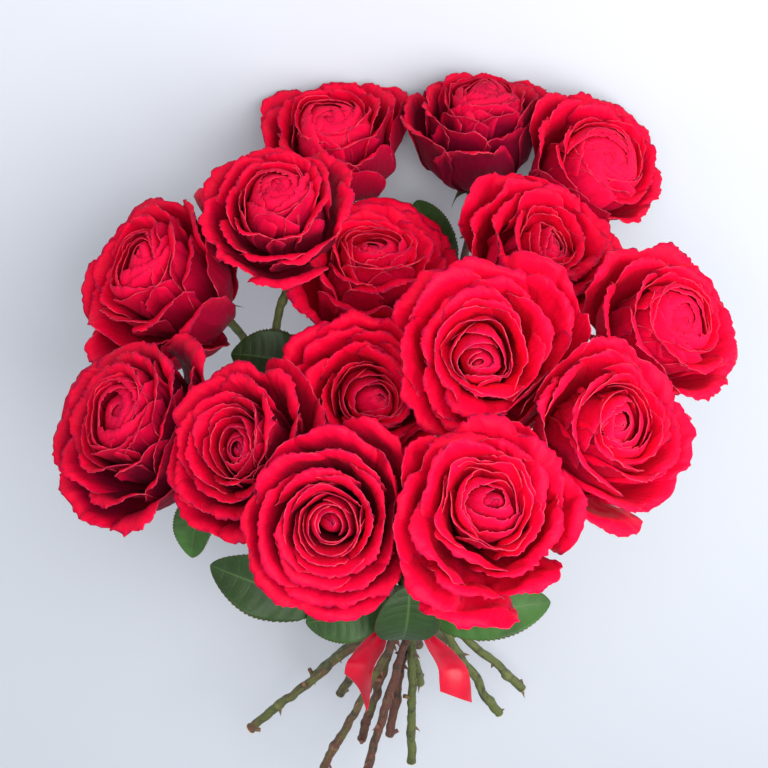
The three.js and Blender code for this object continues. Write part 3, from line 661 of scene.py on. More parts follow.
def petal_tree():
    """All petals of a bloom, in bloom radii. Each rises as a curve in its own half plane, bends out
    into a shelf at its lip, is wrapped round the bloom's axis, and is ruffled and creased."""
    tree = GeometryTree("Rose petals", {
        "Petals": 38, "Radius": 48.0, "Bud": 0.5, "Droop": 0.5, "Ruffle": 1.0, "Unruly": 1.0,
        "Swirl": 0.4, "Heart": (0.0, 0.0, 0.0), "Shade": 0.0, "Seed": 1})
    most, ramp, cosine, sine = tree.most, tree.ramp, tree.cosine, tree.sine
    seed, bud, ruffle = tree.given("Seed"), tree.given("Bud"), tree.given("Ruffle")
    grid, side, up = tree.grid(PETAL_ACROSS, PETAL_ALONG)
    points = tree.add("GeometryNodePoints", {}, {"Count": tree.given("Petals")})
    points = tree.store(points, "petal", tree.add("GeometryNodeInputIndex"))
    blades = tree.real(tree.add("GeometryNodeInstanceOnPoints", {}, {
        "Points": points, "Instance": grid}))
    order = tree.named("petal")

    def draw(channel):
        """A number from -1 to 1 of each petal's own."""
        return tree.draw(-1.0, 1.0, channel, order)

    def rough(across, along, channel, scale):
        """Smooth noise over each petal, from -1 to 1."""
        place = tree.combine(side * across + order * 7.3, up * along, seed * 3.0 + channel)
        return (tree.noise(place, scale, 2.5, 0.6) - 0.5) * 2.4

    # A petal's rank, from 0 at the heart to 1 at the rim, and how far it has opened, how much of it
    # lies as a shelf, and how closed and how loose it is.
    rank = order / (tree.given("Petals") - 1)
    opening = most(rank + 0.03 * draw(1), 0.0)
    shelf = ramp(opening, 0.12, 0.60) * (1 - 0.45 * bud) * (1 + 0.35 * draw(8))
    closed = bud * ramp(opening, 0.70, 0.25)
    loose = ramp(rank, 0.02, 0.25)

    # Its curve: how far out and how high its lip ends, and the handle before the lip.
    lip = opening ** (1.0 + 0.35 * bud)
    far = most(lip - 0.03 * ramp(opening, 0.25, 0.0), 0.0)
    height = (1.08 + 0.12 * opening
              - (0.46 + 0.22 * tree.given("Droop") * opening ** 2) * opening ** 2)
    height = height + 0.06 * draw(3) * opening
    shoulder = 0.13 + 0.59 * lip
    shoulder = shoulder + closed * (0.60 + 0.15 * lip - shoulder)
    shoulder = shoulder + shelf * (far - 0.20 - shoulder)
    raised = 0.86 - 0.03 * opening + closed * (0.14 + 0.10 * opening)
    raised = raised + shelf * (height + 0.03 - raised) + 0.05 * draw(2) * opening

    # Its outline: a ragged lip with rounded corners.
    ragged = 0.055 * rough(3.0, 0.0, 1, 1.5) + 0.062 * rough(12.0, 0.0, 9, 1.5)
    along = up * (1 + loose * (ruffle * ragged * up ** 6 - 0.17 * abs(side) ** 3 - 0.05 * abs(side)))
    out = bezier(0.04 + 0.03 * opening, 0.18 + 0.57 * opening + 0.15 * closed, shoulder, far, along)
    high = bezier(0.06 * (1 - opening), 0.30 * (1 - opening) ** 2 - 0.04 * opening, raised, height, along)

    # Its edges roll outwards, the further out the more they hang, and its lip is wavy.
    edge = ramp(most(abs(side) * 0.96, up), 0.70, 1.0) * up
    flank = ramp(abs(side), 0.45, 1.0, smooth=False) ** 2 * up ** 1.5
    roll = loose * ((0.020 + 0.05 * rank) * edge + (0.015 + 0.08 * rank) * flank)
    fall = math.pi / 2 * rank ** 0.8
    out = out * (1 + (0.10 - 0.05 * rank) * side) + roll * cosine(fall)
    high = high - roll * sine(fall)
    wave = (0.006 + 0.052 * rank) * up ** 3 * ruffle
    high = high + wave * rough(1.5, 0.4, 2, 1.3) + 0.5 * wave * rough(5.0, 1.0, 3, 1.4)
    out = out + 0.5 * wave * rough(2.0, 0.5, 4, 1.3) + 0.35 * wave * rough(6.5, 1.0, 5, 1.4)
    out = out + 0.012 * up * loose * rough(3.5, 1.2, 6, 1.2)

    # It wraps round the axis, the nearer the heart the further, and the heart is twisted and aside.
    wrap = 0.56 + 1.85 * (1 - rank) ** 2.6 + 0.10 * draw(4) + (1 - loose) * (0.5 + 0.5 * bud)
    angle = order * math.radians(PETAL_TURN) + 0.18 * draw(7) + side * wrap
    angle = angle + tree.given("Swirl") * (1 - rank) * up ** 2
    place = tree.combine(out * cosine(angle), out * sine(angle), high * BLOOM_TALL)
    place = tree.vector("ADD", place, tree.scaled(tree.given("Heart"), (1 - rank) ** 1.5 * up))

    for scale, amount in ((1.5, 0.34 * (1 - 0.5 * rank)), (4.2, 0.03 + 0.09 * rank)):
        own = tree.vector("ADD", place, tree.combine(seed * 1.7, 0.0, scale))
        place = tree.vector("ADD", place, tree.scaled(
            tree.drift(own, scale, 1.0), amount * tree.given("Unruly") * ramp(up, 0.0, 0.5)))
    blades = tree.store(blades, "heart", closed * ramp(rank, 0.8, 0.1))
    blades = tree.shaped(blades, tree.scaled(place, tree.given("Radius")))
    return tree.end(tree.store(blades, "shade", tree.given("Shade")))


def petal_material(name, color, dark, contrast, roughness):
    """A petal's face: velvety, clouded, streaked from foot to lip and darkened towards its foot by
    painted shade, its lip faded to magenta in places, brighter where the heart is closed, and painted
    shade in the hollows."""
    material, tree = fresh_material(name)
    mix, ramp = tree.mix, tree.ramp
    side, up, _ = tree.separate(tree.coordinates("UV"))
    coordinates = tree.coordinates()
    heart = tree.named("heart")
    cloudy = tree.noise(coordinates, 45.0, 3.0)
    patchy = tree.noise(coordinates, 160.0, 3.0)
    streaks = tree.noise(tree.combine(side * 26.0, up * 3.0, 0.0), 3.0, 3.0)
    creases = tree.noise(tree.combine(side * 7.0, up * 2.2, tree.named("petal")), 1.6, 2.0)
    grain = tree.noise(coordinates, 900.0, 2.0)
    base = mix(heart * 0.9, color, HEART_RED)
    base = mix(ramp(cloudy * 0.6 + streaks * 0.4, 0.40, 0.75) * contrast, base, dark)
    # Painted shade: darker towards each petal's foot, deep inside the bloom.
    base = mix(ramp(up, 0.85, 0.30) * 0.60, base, dark)
    edge = tree.most(up, 0.5 + abs(side - 0.5)) + 0.05 * (streaks - 0.5)
    faded = ramp(edge, 0.93, 0.995) * ramp(patchy, 0.35, 0.62)
    base = mix(faded * 0.8 * (1 - heart), base, FADED_LIP)
    # Painted shade: each bloom darkened as far as its shade says, most deep in its hollows and least at
    # the lips.
    hollow_shade = tree.named("shade") * (0.35 + 1.3 * ramp(up, 0.97, 0.60))
    tree.into("Base Color", mix(tree.least(hollow_shade, 0.95), base, PAINTED_HOLLOW_SHADE))
    tree.into("Roughness", roughness + 0.1 * cloudy)
    tree.bump(0.6 * streaks + 0.2 * grain + 2.2 * creases, 0.6, 0.0009)
    tree.constants({"Specular IOR Level": 0.08, "Sheen Weight": 0.02, "Sheen Roughness": 0.5,
                    "Sheen Tint": (1.0, 0.30, 0.40, 1.0), "Subsurface Weight": 0.15,
                    "Subsurface Scale": 0.003, "Subsurface Radius": (1.0, 0.12, 0.10)})
    return material


class ROSES_OT_blooms(bpy.types.Operator):
    """Make the petals of every bloom"""
    bl_idname = "roses.blooms"
    bl_label = "Blooms"

    def execute(self, context):
        settings = context.scene.rose_blooms
        group = petal_tree()
        face = petal_material("petal face", settings.face, FACE_CLOUD_AND_PAINTED_SHADE, 0.45, 0.5)
        reverse = petal_material("petal reverse", settings.reverse, REVERSE_CLOUD_AND_PAINTED_SHADE, 0.45, 0.6)
        # Rims patched between dark maroon and pale pink, the pale pink partly a dried edge and partly a
        # painted glint.
        rim = petal_material("petal rim", RIM_DRIED_AND_PAINTED_GLINT, RIM_CLOUD_AND_PAINTED_SHADE, 1.0, 0.6)
        for rose in roses:
            full, unruly, swirl, heart, shift, shade = LOOKS[rose.number - 1]
            aside = rose.turn.inverted() @ (RIGHT * heart[0] + UPWARD * heart[1])
            place = rose.calyx + RIGHT * shift[0] + UPWARD * shift[1]
            piece = grown(f"{rose.name}_bloom", group, {
                "Petals": settings.petals, "Radius": full * rose.radius, "Bud": rose.bud,
                "Droop": rose.droop, "Ruffle": settings.ruffle, "Unruly": unruly,
                "Swirl": swirl, "Heart": (aside.x, aside.y, 0), "Shade": shade,
                "Seed": rose.number, "Material": face})
            mesh = piece.data
            mesh.flip_normals()
            mesh.transform(Matrix.Translation(place) @ rose.turn.to_matrix().to_4x4())
            flat = np.empty(len(mesh.vertices) * 3)
            mesh.vertices.foreach_get("co", flat)
            mesh.vertices.foreach_set("co", keep_clear(flat.reshape(-1, 3), rose).ravel())
            lay(piece)
            mesh.materials.append(reverse)
            mesh.materials.append(rim)
            thicken(piece, settings.thickness, reverse=1, rim=2)
            keep(piece, f"{rose.name}_petals")
        return {"FINISHED"}


# ---------------------------------------------------------------- stems

def jitter(seed, index, channel):
    """A repeatable number from -1 to 1."""
    value = math.sin(seed * 12.9898 + index * 78.233 + channel * 37.719) * 43758.5453
    return 2 * (value - math.floor(value)) - 1


def straight_path(rose):
    """A stem's first path: from its cut end to its place at the tie, and on to its neck."""
    neck = rose.calyx - rose.axis * NECK_LENGTH
    radius, start, stems = OUTER_RING if rose.number in OUTER_RING[2] else INNER_RING
    angle = math.radians(start + stems.index(rose.number) * 360 / len(stems))
    tie = Vector((radius * math.cos(angle), radius * math.sin(angle), 0))
    path = []
    for k in range(STEM_STATIONS):
        if k >= TIE_STATION:
            path.append(tie.lerp(neck, (k - TIE_STATION) / (STEM_STATIONS - 1 - TIE_STATION)))
            continue
        kink = Vector((jitter(rose.number, k, 14), jitter(rose.number, k, 15), 0))
        path.append(rose.end.lerp(tie, k / TIE_STATION) + kink * (STEM_KINK if k else 0))
    return path


def nearest(a, b, c, d):
    """Where two straight stretches come nearest: how far along each of them, from 0 to 1."""
    u, v, w = b - a, d - c, a - c
    uu, uv, vv, uw, vw = u.dot(u), u.dot(v), v.dot(v), u.dot(w), v.dot(w)
    spread = uu * vv - uv * uv
    s = min(max((uv * vw - vv * uw) / spread, 0), 1) if spread > 1e-9 else 0
    t = min(max((uv * s + vw) / vv, 0), 1)
    return min(max((uv * t - uw) / uu, 0), 1), t


def part_stretches(path, k, other, m):
    """Moves two stretches of stem apart where they come too close."""
    s, t = nearest(path[k], path[k + 1], other[m], other[m + 1])
    away = path[k].lerp(path[k + 1], s) - other[m].lerp(other[m + 1], t)
    lack = STEM_SPACING - away.length
    if lack <= 0:
        return
    away = away.normalized() * 0.5 * lack
    for points, n, share in ((path, k, 1 - s), (path, k + 1, s),
                             (other, m, t - 1), (other, m + 1, -t)):
        if n < STEM_STATIONS - 1:
            points[n] += away * share


def pass_bloom(path, k, rose):
    """Moves a stretch of stem out of the bloom of another rose."""
    belly = rose.calyx + rose.axis * BELLY_ABOVE * rose.radius
    along = path[k + 1] - path[k]
    share = min(max((belly - path[k]).dot(along) / along.length_squared, 0), 1)
    away = path[k] + along * share - belly
    lack = BELLY * rose.radius + BLOOM_CLEARANCE - away.length
    if lack <= 0:
        return
    away = away.normalized() * BLOOM_PUSH * lack
    path[k] += away * (1 - share)
    if k + 1 < STEM_STATIONS - 1:
        path[k + 1] += away * share


def far_apart(a, b, c, d):
    """Whether two stretches lie so far apart that neither can push the other."""
    reach = (b - a).length + (d - c).length
    return (a + b - c - d).length > reach + 2 * STEM_SPACING


def spread_stems():
    """Bends the stems clear of each other and of the blooms that they pass."""
    paths = [straight_path(rose) for rose in roses]
    stretches = range(STEM_STATIONS - 1)
    for turn in range(SPREAD_PASSES):
        for i, path in enumerate(paths):
            for k in stretches:
                for other in paths[i + 1:]:
                    for m in stretches:
                        if not far_apart(path[k], path[k + 1], other[m], other[m + 1]):
                            part_stretches(path, k, other, m)
                for j, rose in enumerate(roses):
                    if i != j:
                        pass_bloom(path, k, rose)
        if turn >= SPREAD_PASSES / 2:
            continue
        for path in paths:
            before = [point.copy() for point in path]
            for k in range(1, STEM_STATIONS - 1):
                if k != TIE_STATION:
                    path[k] = path[k].lerp((before[k - 1] + before[k + 1]) / 2, STEM_EASE)
    return paths


stem_paths = spread_stems()


def point_at(path, height):
    """Where a stem's path passes a height above the tie."""
    k = next(i for i, point in enumerate(path) if point.z > height) - 1
    return path[k].lerp(path[k + 1], (height - path[k].z) / (path[k + 1].z - path[k].z))


STALK_STEP = 1.5               # between the points of a stem's or a stalk's tube
JOINT_SPACING = 41.0
TIE_FREE = (14.0, 40.0)        # how far from the tie a stem begins to swell and bend, and does so fully
SEPALS = 5


def stem_tree():
    """A stem along its path: a tube with swollen joints that widens into the hip, five sepals at
    the top, and thorns and cut stubs on its sides."""
    tree = GeometryTree("Rose stem", {
        "Width": STEM_ACROSS, "End width": STEM_END_ACROSS, "Tie": 130.0,
        "Joint spacing": JOINT_SPACING, "Joint swelling": 0.2, "Thorn spacing": 34.0,
        "Calyx": (0.0, 0.0, 0.0), "Facing": (0.0, 0.0, 0.0), "Tone": 0.5, "Seed": 1})
    ramp = tree.ramp
    seed, width = tree.given("Seed"), tree.given("Width")
    along, left, thick = tree.named("along"), tree.named("left"), tree.named("thick")
    run, out = tree.named("run", "FLOAT_VECTOR"), tree.named("out", "FLOAT_VECTOR")
    from_tie = along - tree.given("Tie")
    free = ramp(abs(from_tie), *TIE_FREE)

    curve = tree.route(STALK_STEP)
    curve = tree.store(curve, "left", tree.add("GeometryNodeSplineLength") - along)
    spacing = tree.given("Joint spacing") * (1 + 0.25 * tree.sine(seed * 2.3))
    beside = tree.math("PINGPONG", along + seed * 13.7, 0.5 * spacing)
    uneven = tree.noise(tree.combine(along, seed * 3.0, 4.0), 0.03, 1.0)
    curve = tree.store(curve, "joint", tree.hump(beside, 4.5) * free * ramp(uneven, 0.30, 0.65))
    rough = tree.noise(tree.combine(along, seed * 7.0, 0.0), 0.11, 3.0) - 0.5
    taper = ramp(-from_tie, 0.0, tree.given("Tie"), smooth=False)
    bare = 0.5 * (width + taper * (tree.given("End width") - width))
    bare = bare * (0.99 + tree.named("joint") * tree.given("Joint swelling") + 0.5 * free * rough)
    hip = 5.6 * ramp(left, 11.0, 3.0) * (1 - 0.35 * ramp(left, 2.5, 0.0))
    curve = tree.store(curve, "thick", tree.most(bare, hip))
    drift = tree.drift(tree.combine(along, seed * 5.0, 0.0), 0.045, 2.0)
    curve = tree.moved(curve, tree.scaled(drift, 6.0 * free * ramp(left, 4.0, 40.0)))
    curve = tree.store(curve, "run", tree.add("GeometryNodeInputTangent"), "FLOAT_VECTOR")
    tube = tree.tube(curve, tree.store(
        tree.circle(12), "around", tree.add("GeometryNodeSplineParameter")))

    def growth(step, channel, shape, sink, lean, share, size):
        """Spikes or stubs on the stem's sides, each with its foot sunk into it."""
        points = tree.add("GeometryNodeCurveToPoints", {"mode": "LENGTH"},
                          {"Curve": curve, "Length": step})
        aim = tree.combine(*(tree.draw(-1.0, 1.0, channel + n) for n in range(3)))
        aim = tree.vector("SUBTRACT", aim, tree.vector("PROJECT", aim, run))
        points = tree.store(points, "out", tree.vector("NORMALIZE", aim), "FLOAT_VECTOR")
        points = tree.moved(points, tree.scaled(out, thick * sink))
        turned = tree.aimed("Z", tree.vector("ADD", out, tree.scaled(run, lean)))
        turned = tree.aimed("Y", run, turned, "Z")
        apart = ramp(abs(from_tie), 17.0, 18.0) * ramp(left, 16.0, 17.0)
        lucky = tree.math("LESS_THAN", tree.draw(0.0, 1.0, channel + 3), share)
        chosen = tree.math("GREATER_THAN", apart * lucky, 0.5)
        grown = tree.real(tree.scatter(points, shape, turned, size, chosen))
        return tree.store(grown, "grown", 1.0)

    _, _, height = tree.separate(tree.add("GeometryNodeInputPosition"))
    thorn = tree.add("GeometryNodeMeshCone", {}, {
        "Vertices": 7, "Side Segments": 3, "Radius Top": 0.05, "Radius Bottom": 1.5, "Depth": 5.2})
    thorn = tree.moved(thorn, tree.combine(0.0, -0.05 * height ** 2, 0.0))
    thorns = growth(tree.given("Thorn spacing"), 20, thorn, 0.7, -0.25, 0.75, (0.7, 1.4, 1.0))
    stub = tree.add("GeometryNodeMeshCylinder", {}, {
        "Vertices": 9, "Side Segments": 3, "Radius": 1.6, "Depth": 6.5})
    stub = tree.add("GeometryNodeTransform", {}, {"Geometry": stub, "Translation": (0, 0, 3.0)})
    stubs = growth(tree.given("Thorn spacing") * 1.9, 30, stub, 0.4, 0.7, 0.55, (1.0, 1.0, 1.0))

    sepal, side, up = tree.grid(7, 13)
    half = 3.4 * (1 - up) ** 0.75 * (0.45 + 1.1 * tree.hump(up - 0.25, 0.45)) + 0.3 * (1 - up)
    sepal = tree.shaped(sepal, tree.combine(
        4.6 + 17.0 * up * (1 - 0.25 * up), side * half,
        2.5 * up - 1.6 - 12.0 * up ** 2.2 + 0.35 * half * side ** 2))
    points = tree.add("GeometryNodePoints", {}, {"Count": SEPALS, "Position": tree.given("Calyx")})
    spin = tree.add("FunctionNodeAxisAngleToRotation", {}, {
        "Axis": (0, 0, 1), "Angle": tree.add("GeometryNodeInputIndex") * (math.tau / SEPALS)
        + tree.draw(-0.3, 0.3, 40)})
    turned = tree.add("FunctionNodeRotateRotation", {"rotation_space": "LOCAL"}, {
        "Rotation": tree.aimed("Z", tree.given("Facing")), "Rotate By": spin})
    size = tree.combine(tree.draw(0.8, 1.1, 41), 1.0, tree.draw(0.4, 1.5, 42))
    sepals = tree.store(tree.real(tree.scatter(points, sepal, turned, size)), "leafy", 1.0)
    whole = tree.joined(tube, thorns, stubs, sepals)
    return tree.end(tree.store(whole, "tone", tree.given("Tone")))


BARK_BLOTCH = (0.022, 0.020, 0.011)
BARK_SHADE = (0.030, 0.032, 0.012)
BARK_LIGHT = (0.24, 0.26, 0.07)
BARK_SPECK = (0.30, 0.26, 0.12)
BARK_JOINT = (0.22, 0.18, 0.06)
THORN_RED = (0.16, 0.05, 0.03)
SEPAL_GREEN = (0.05, 0.10, 0.03)
CUT_WOOD = (0.45, 0.40, 0.22)


def stem_material(settings):
    """Bark: green to reddish, streaked along the stem, with paler specks and joints, and pale
    wood where the stem is cut."""
    made = bpy.data.materials.get("stem bark")
    if made:
        return made
    material, tree = fresh_material("stem bark")
    mix, ramp = tree.mix, tree.ramp
    along, leafy, thorny = tree.named("along"), tree.named("leafy"), tree.named("grown")
    around = tree.named("around") * math.tau
    coordinates = tree.coordinates()
    streaks = tree.noise(tree.combine(
        along * 0.05, tree.sine(around) * 1.4, tree.cosine(around) * 1.4), 2.2, 4.0, 0.6)
    cloudy = tree.noise(coordinates, 38.0, 3.0)
    mottled = tree.noise(coordinates, 120.0, 4.0, 0.65)
    specks = tree.add("ShaderNodeTexVoronoi", {"feature": "F1"},
                      {"Vector": coordinates, "Scale": 420.0})
    red = ramp(tree.named("tone") + 0.9 * (cloudy - 0.5) + 0.5 * (streaks - 0.5), 0.35, 0.65)
    base = mix(red, settings.green, settings.brown)
    base = mix(ramp(mottled, 0.50, 0.66) * 0.8, base, BARK_BLOTCH)
    base = mix(ramp(streaks, 0.50, 0.75) * 0.6, base, BARK_SHADE)
    base = mix(ramp(streaks, 0.45, 0.25) * 0.45, base, BARK_LIGHT)
    base = mix(ramp(specks, 0.22, 0.12) * 0.35, base, BARK_SPECK)
    base = mix(ramp(tree.named("joint"), 0.55, 0.95) * 0.30, base, BARK_JOINT)
    base = mix(thorny * 0.6, base, THORN_RED)
    base = mix(leafy * 0.9, base, SEPAL_GREEN)
    cut = ramp(along, 0.9, 0.2) * (1 - leafy) * (1 - thorny)
    tree.into("Base Color", mix(cut, base, CUT_WOOD))
    tree.into("Roughness", 0.42 + 0.3 * cloudy)
    tree.bump(streaks + mottled + 0.3 * ramp(specks, 0.3, 0.1), 0.7, 0.0009)
    return material


class ROSES_OT_stems(bpy.types.Operator):
    """Make every stem with its hip, sepals and thorns"""
    bl_idname = "roses.stems"
    bl_label = "Stems"

    def execute(self, context):
        settings = context.scene.rose_stems
        group = stem_tree()
        bark = stem_material(settings)
        for rose, path in zip(roses, stem_paths):
            top = rose.calyx - rose.axis * (HIP_BELOW * BLOOM_TALL * rose.radius + SEAT_GAP)
            below_tie = sum((path[k + 1] - path[k]).length for k in range(TIE_STATION))
            piece = grown(f"{rose.name}_stalk", group, {
                "Tie": below_tie, "Joint swelling": settings.knots,
                "Thorn spacing": settings.thorns / MM, "Calyx": top, "Facing": rose.axis,
                "Tone": 0.5 + 0.5 * jitter(rose.number, 0, 3), "Seed": rose.number,
                "Material": bark}, line_through([*path, top]))
            lay(piece, sharp=50)
            keep(piece, f"{rose.name}_stem")
        return {"FINISHED"}


# ---------------------------------------------------------------- leaves

def leaflet_tree():
    """A leaflet from its foot along +Y: an oval with toothed edges, folded along its midrib,
    arched and puckered between its side veins. The rows of its grid follow those veins."""
    tree = GeometryTree("Rose leaflet", {
        "Length": 70.0, "Width": 40.0, "Arch": 0.1, "Fold": 0.2, "Teeth": 24,
        "Veins": LEAF_VEINS, "Fresh": 0.5, "Seed": 1})
    length = tree.given("Length")
    seed = tree.given("Seed")
    grid, side, up = tree.grid(LEAF_ACROSS, LEAF_ALONG)
    inner = tree.least(tree.most(up, 0.001), 0.999)
    oval = tree.sine(math.pi * inner ** 0.8) ** 0.62
    tooth = tree.math("FRACT", up * tree.given("Teeth")) * abs(side) ** 8
    half = 0.5 * tree.given("Width") * oval + 1.1 * tooth * oval + 0.5 * (1 - up)
    x = side * half
    y = length * (up + 0.09 * side ** 2 * tree.sine(math.pi * up))
    between = tree.sine(math.pi * up * tree.given("Veins")) ** 2
    sway = tree.noise(tree.combine(up * 2.2, tree.math("SIGN", side) * 3.0, seed * 4.0), 1.0, 1.0)
    z = (tree.given("Arch") * length * tree.sine(math.pi * up ** 0.9)
         + tree.given("Fold") * (x * x + 1.5) ** 0.5
         + 0.55 * between * abs(side) ** 0.5 * (1 - side ** 4) * oval
         + 0.28 * half * (sway - 0.5) * 2 * abs(side) ** 2
         - 0.10 * length * up ** 3)
    leaflet = tree.shaped(grid, tree.combine(x, y, z))
    return tree.end(tree.store(leaflet, "fresh", tree.given("Fresh")))


def stalk_tree():
    """A leaf's stalk along its path, swollen where it leaves the stem."""
    tree = GeometryTree("Leaf stalk", {"Width": STALK_ACROSS})
    thick = 0.5 * tree.given("Width") * (0.75 + 0.6 * tree.ramp(tree.named("along"), 7.0, 0.0))
    curve = tree.store(tree.route(STALK_STEP), "thick", thick)
    return tree.end(tree.store(tree.tube(curve, tree.circle(8)), "leafy", 1.0))


FRESH_GREEN = (0.045, 0.140, 0.022)
LEAF_EDGE = (0.10, 0.045, 0.02)
UPPER_VEIN = (0.07, 0.13, 0.035)
UNDER_VEIN = (0.20, 0.26, 0.16)


def leaf_material(name, color, vein, roughness):
    """A leaf's face, with paler midrib and side veins on the rows of the leaflet's grid."""
    material, tree = fresh_material(name)
    mix, ramp = tree.mix, tree.ramp
    across, up, _ = tree.separate(tree.coordinates("UV"))
    side = abs(2 * across - 1)
    coordinates = tree.coordinates()
    beside = tree.math("PINGPONG", up * LEAF_VEINS, 0.5)
    rib = tree.hump(side, 0.075)
    cloudy = tree.noise(coordinates, 55.0, 3.0)
    veins = tree.hump(beside + 0.10 * (cloudy - 0.5), 0.085) * ramp(side, 0.95, 0.35)
    net = tree.add("ShaderNodeTexVoronoi", {"feature": "DISTANCE_TO_EDGE"},
                   {"Vector": coordinates, "Scale": 650.0})
    cells = ramp(net, 0.0, 0.12)
    base = mix(tree.named("fresh"), color, FRESH_GREEN)
    base = mix(ramp(cloudy, 0.35, 0.7) * 0.5, base, darker(color))
    base = mix((1 - cells) * 0.16, base, vein)
    base = mix(tree.most(rib, 0.45 * veins * ramp(cloudy, 0.25, 0.7)) * 0.7, base, vein)
    tree.into("Base Color", mix(ramp(side, 0.955, 1.0) * 0.6, base, LEAF_EDGE))
    tree.into("Roughness", roughness + 0.15 * cloudy)
    tree.bump(0.25 * cells - 0.6 * veins - 0.5 * rib, 0.5, 0.0004)
    tree.constants({"Specular IOR Level": 0.3})
    return material


def leaf_paths(stem, above, foot, tip, face, width, pairs):
    """The path of a leaf's stalk, and the foot, tip and width of each of its leaflets."""
    place = point_at(stem_paths[stem - 1], above)
    along = (point_at(stem_paths[stem - 1], above + 5) - place).normalized()
    fork, end = Vector(foot), Vector(tip)
    out = (fork - place) - along * (fork - place).dot(along)
    out.normalize()
    root = place + out * (0.5 * STEM_ACROSS - STALK_SINK)
    bend = root.lerp(fork, 0.5) + out * STALK_BOW
    stalk = [bezier(root, root.lerp(bend, 2 / 3), fork.lerp(bend, 2 / 3), fork, n / 6)
             for n in range(7)]
    run = (end - fork).normalized()
    leaflets = [(fork - run * BLADE_SINK, end, width)]
    sideways = face.cross(run).normalized()
    for pair in range(pairs):
        base = fork.lerp(root, PAIR_FIRST + PAIR_STEP * pair)
        for side in (-1, 1):
            reach = (sideways * side + run * SIDE_LEAN).normalized()
            leaflets.append((base, base + reach * SIDE_LONG * width, SIDE_WIDE * width))
    return stalk, leaflets


class ROSES_OT_leaves(bpy.types.Operator):
    """Make every leaf with its stalk and leaflets"""
    bl_idname = "roses.leaves"
    bl_label = "Leaves"

    def execute(self, context):
        settings = context.scene.rose_leaves
        blade, stem = leaflet_tree(), stalk_tree()
        upper = leaf_material("leaf upper", settings.upper, UPPER_VEIN, 0.42)
        under = leaf_material("leaf underside", settings.under, UNDER_VEIN, 0.6)
        bark = stem_material(context.scene.rose_stems)
        for number, (*row, arch, fold, fresh) in enumerate(LEAVES, 1):
            leaf = f"leaf_{number:02d}"
            face = Vector(row[4]).normalized()
            stalk, leaflets = leaf_paths(*row[:4], face, *row[5:])
            piece = grown(f"{leaf}_stalk", stem, {"Material": bark}, line_through(stalk))
            lay(piece)
            keep(piece, leaf)
            for order, (base, tip, width) in enumerate(leaflets, 1):
                run = (tip - base).normalized()
                across = run.cross(face).normalized()
                piece = grown(f"{leaf}_blade_{order}", blade, {
                    "Length": (tip - base).length, "Width": width, "Arch": arch, "Fold": fold,
                    "Teeth": settings.teeth, "Fresh": fresh, "Seed": 10 * number + order,
                    "Material": upper})
                turn = Matrix((across, run, across.cross(run))).transposed()
                piece.data.transform(Matrix.Translation(base) @ turn.to_4x4())
                piece.data.materials.append(under)
                lay(piece)
                thicken(piece, settings.thickness, reverse=1)
                keep(piece, leaf)
        return {"FINISHED"}


# ---------------------------------------------------------------- ribbon

def tail_tree():
    """A loose end of the ribbon along its path: gathered into pleats at the knot, a folded and
    curling band below it, and cut slantwise."""
    tree = GeometryTree("Ribbon tail", {
        "Width": RIBBON_WIDTH, "Across": (0.0, 0.0, 0.0), "Slant": RIBBON_SLANT, "Seed": 1})
    curve = tree.route(0.8)
    curve = tree.store(curve, "run", tree.add("GeometryNodeInputTangent"), "FLOAT_VECTOR")
    curve = tree.store(curve, "share", tree.add("GeometryNodeSplineParameter"))
    profile = tree.add("GeometryNodeCurvePrimitiveLine", {}, {"Start": (-1, 0, 0), "End": (1, 0, 0)})
    profile = tree.add("GeometryNodeResampleCurve", {}, {"Curve": profile, "Count": 41})
    profile = tree.store(profile, "side", 2 * tree.add("GeometryNodeSplineParameter") - 1)
    # Its points start in a speck on the curve, and are moved out from there.
    band = tree.add("GeometryNodeCurveToMesh", {}, {
        "Curve": curve, "Profile Curve": profile, "Scale": 0.001})
    side, share = tree.named("side"), tree.named("share")
    run = tree.named("run", "FLOAT_VECTOR")
    across = tree.given("Across")
    across = tree.vector("NORMALIZE", tree.vector(
        "SUBTRACT", across, tree.vector("PROJECT", across, run)))
    up = tree.vector("CROSS_PRODUCT", run, across)
    spread = tree.ramp(share, 0.0, 0.45)
    half = 0.5 * tree.given("Width") * (0.42 + 0.50 * spread)
    seed = tree.given("Seed")
    pleats = 2.1 * (1 - spread) * tree.sine(side * 7.5 + seed)
    curl = 2.6 * spread * tree.sine(side * 2.2 + share * 3.0 + seed * 2.0)
    offset = tree.vector("ADD", tree.scaled(across, side * half), tree.scaled(up, pleats + curl))
    cut = tree.given("Slant") * side * share ** 4
    offset = tree.vector("ADD", offset, tree.scaled(run, cut))
    return tree.end(tree.moved(band, offset))


def wrap_tree():
    """The band wound round the stems: waisted, and creased along its turns."""
    tree = GeometryTree("Ribbon wrap", {"Waist": 14.0, "Edge": 15.0, "Half width": 11.0})
    waist = tree.given("Waist")
    grid, side, up = tree.grid(145, 45)
    angle = side * math.pi
    along = 2 * up - 1
    height = tree.given("Half width") * (along * (1 + 0.04 * tree.sine(2 * angle + 1)))
    slanting = along * 9.0 + 1.6 * tree.sine(angle) + 1.1 * tree.sine(angle * 2 + 2)
    rough = tree.noise(tree.combine(tree.cosine(angle) * 2, tree.sine(angle) * 2, along * 1.5),
                       1.3, 2.0)
    radius = (waist + (tree.given("Edge") - waist) * along ** 2
              + 0.45 * tree.sine(slanting) * (1 - along ** 4) + 0.8 * (rough - 0.5))
    ring = tree.shaped(grid, tree.combine(
        radius * tree.sine(angle), -radius * tree.cosine(angle), height))
    ring = tree.add("GeometryNodeMergeByDistance", {}, {"Geometry": ring, "Distance": 0.01})
    return tree.end(ring)


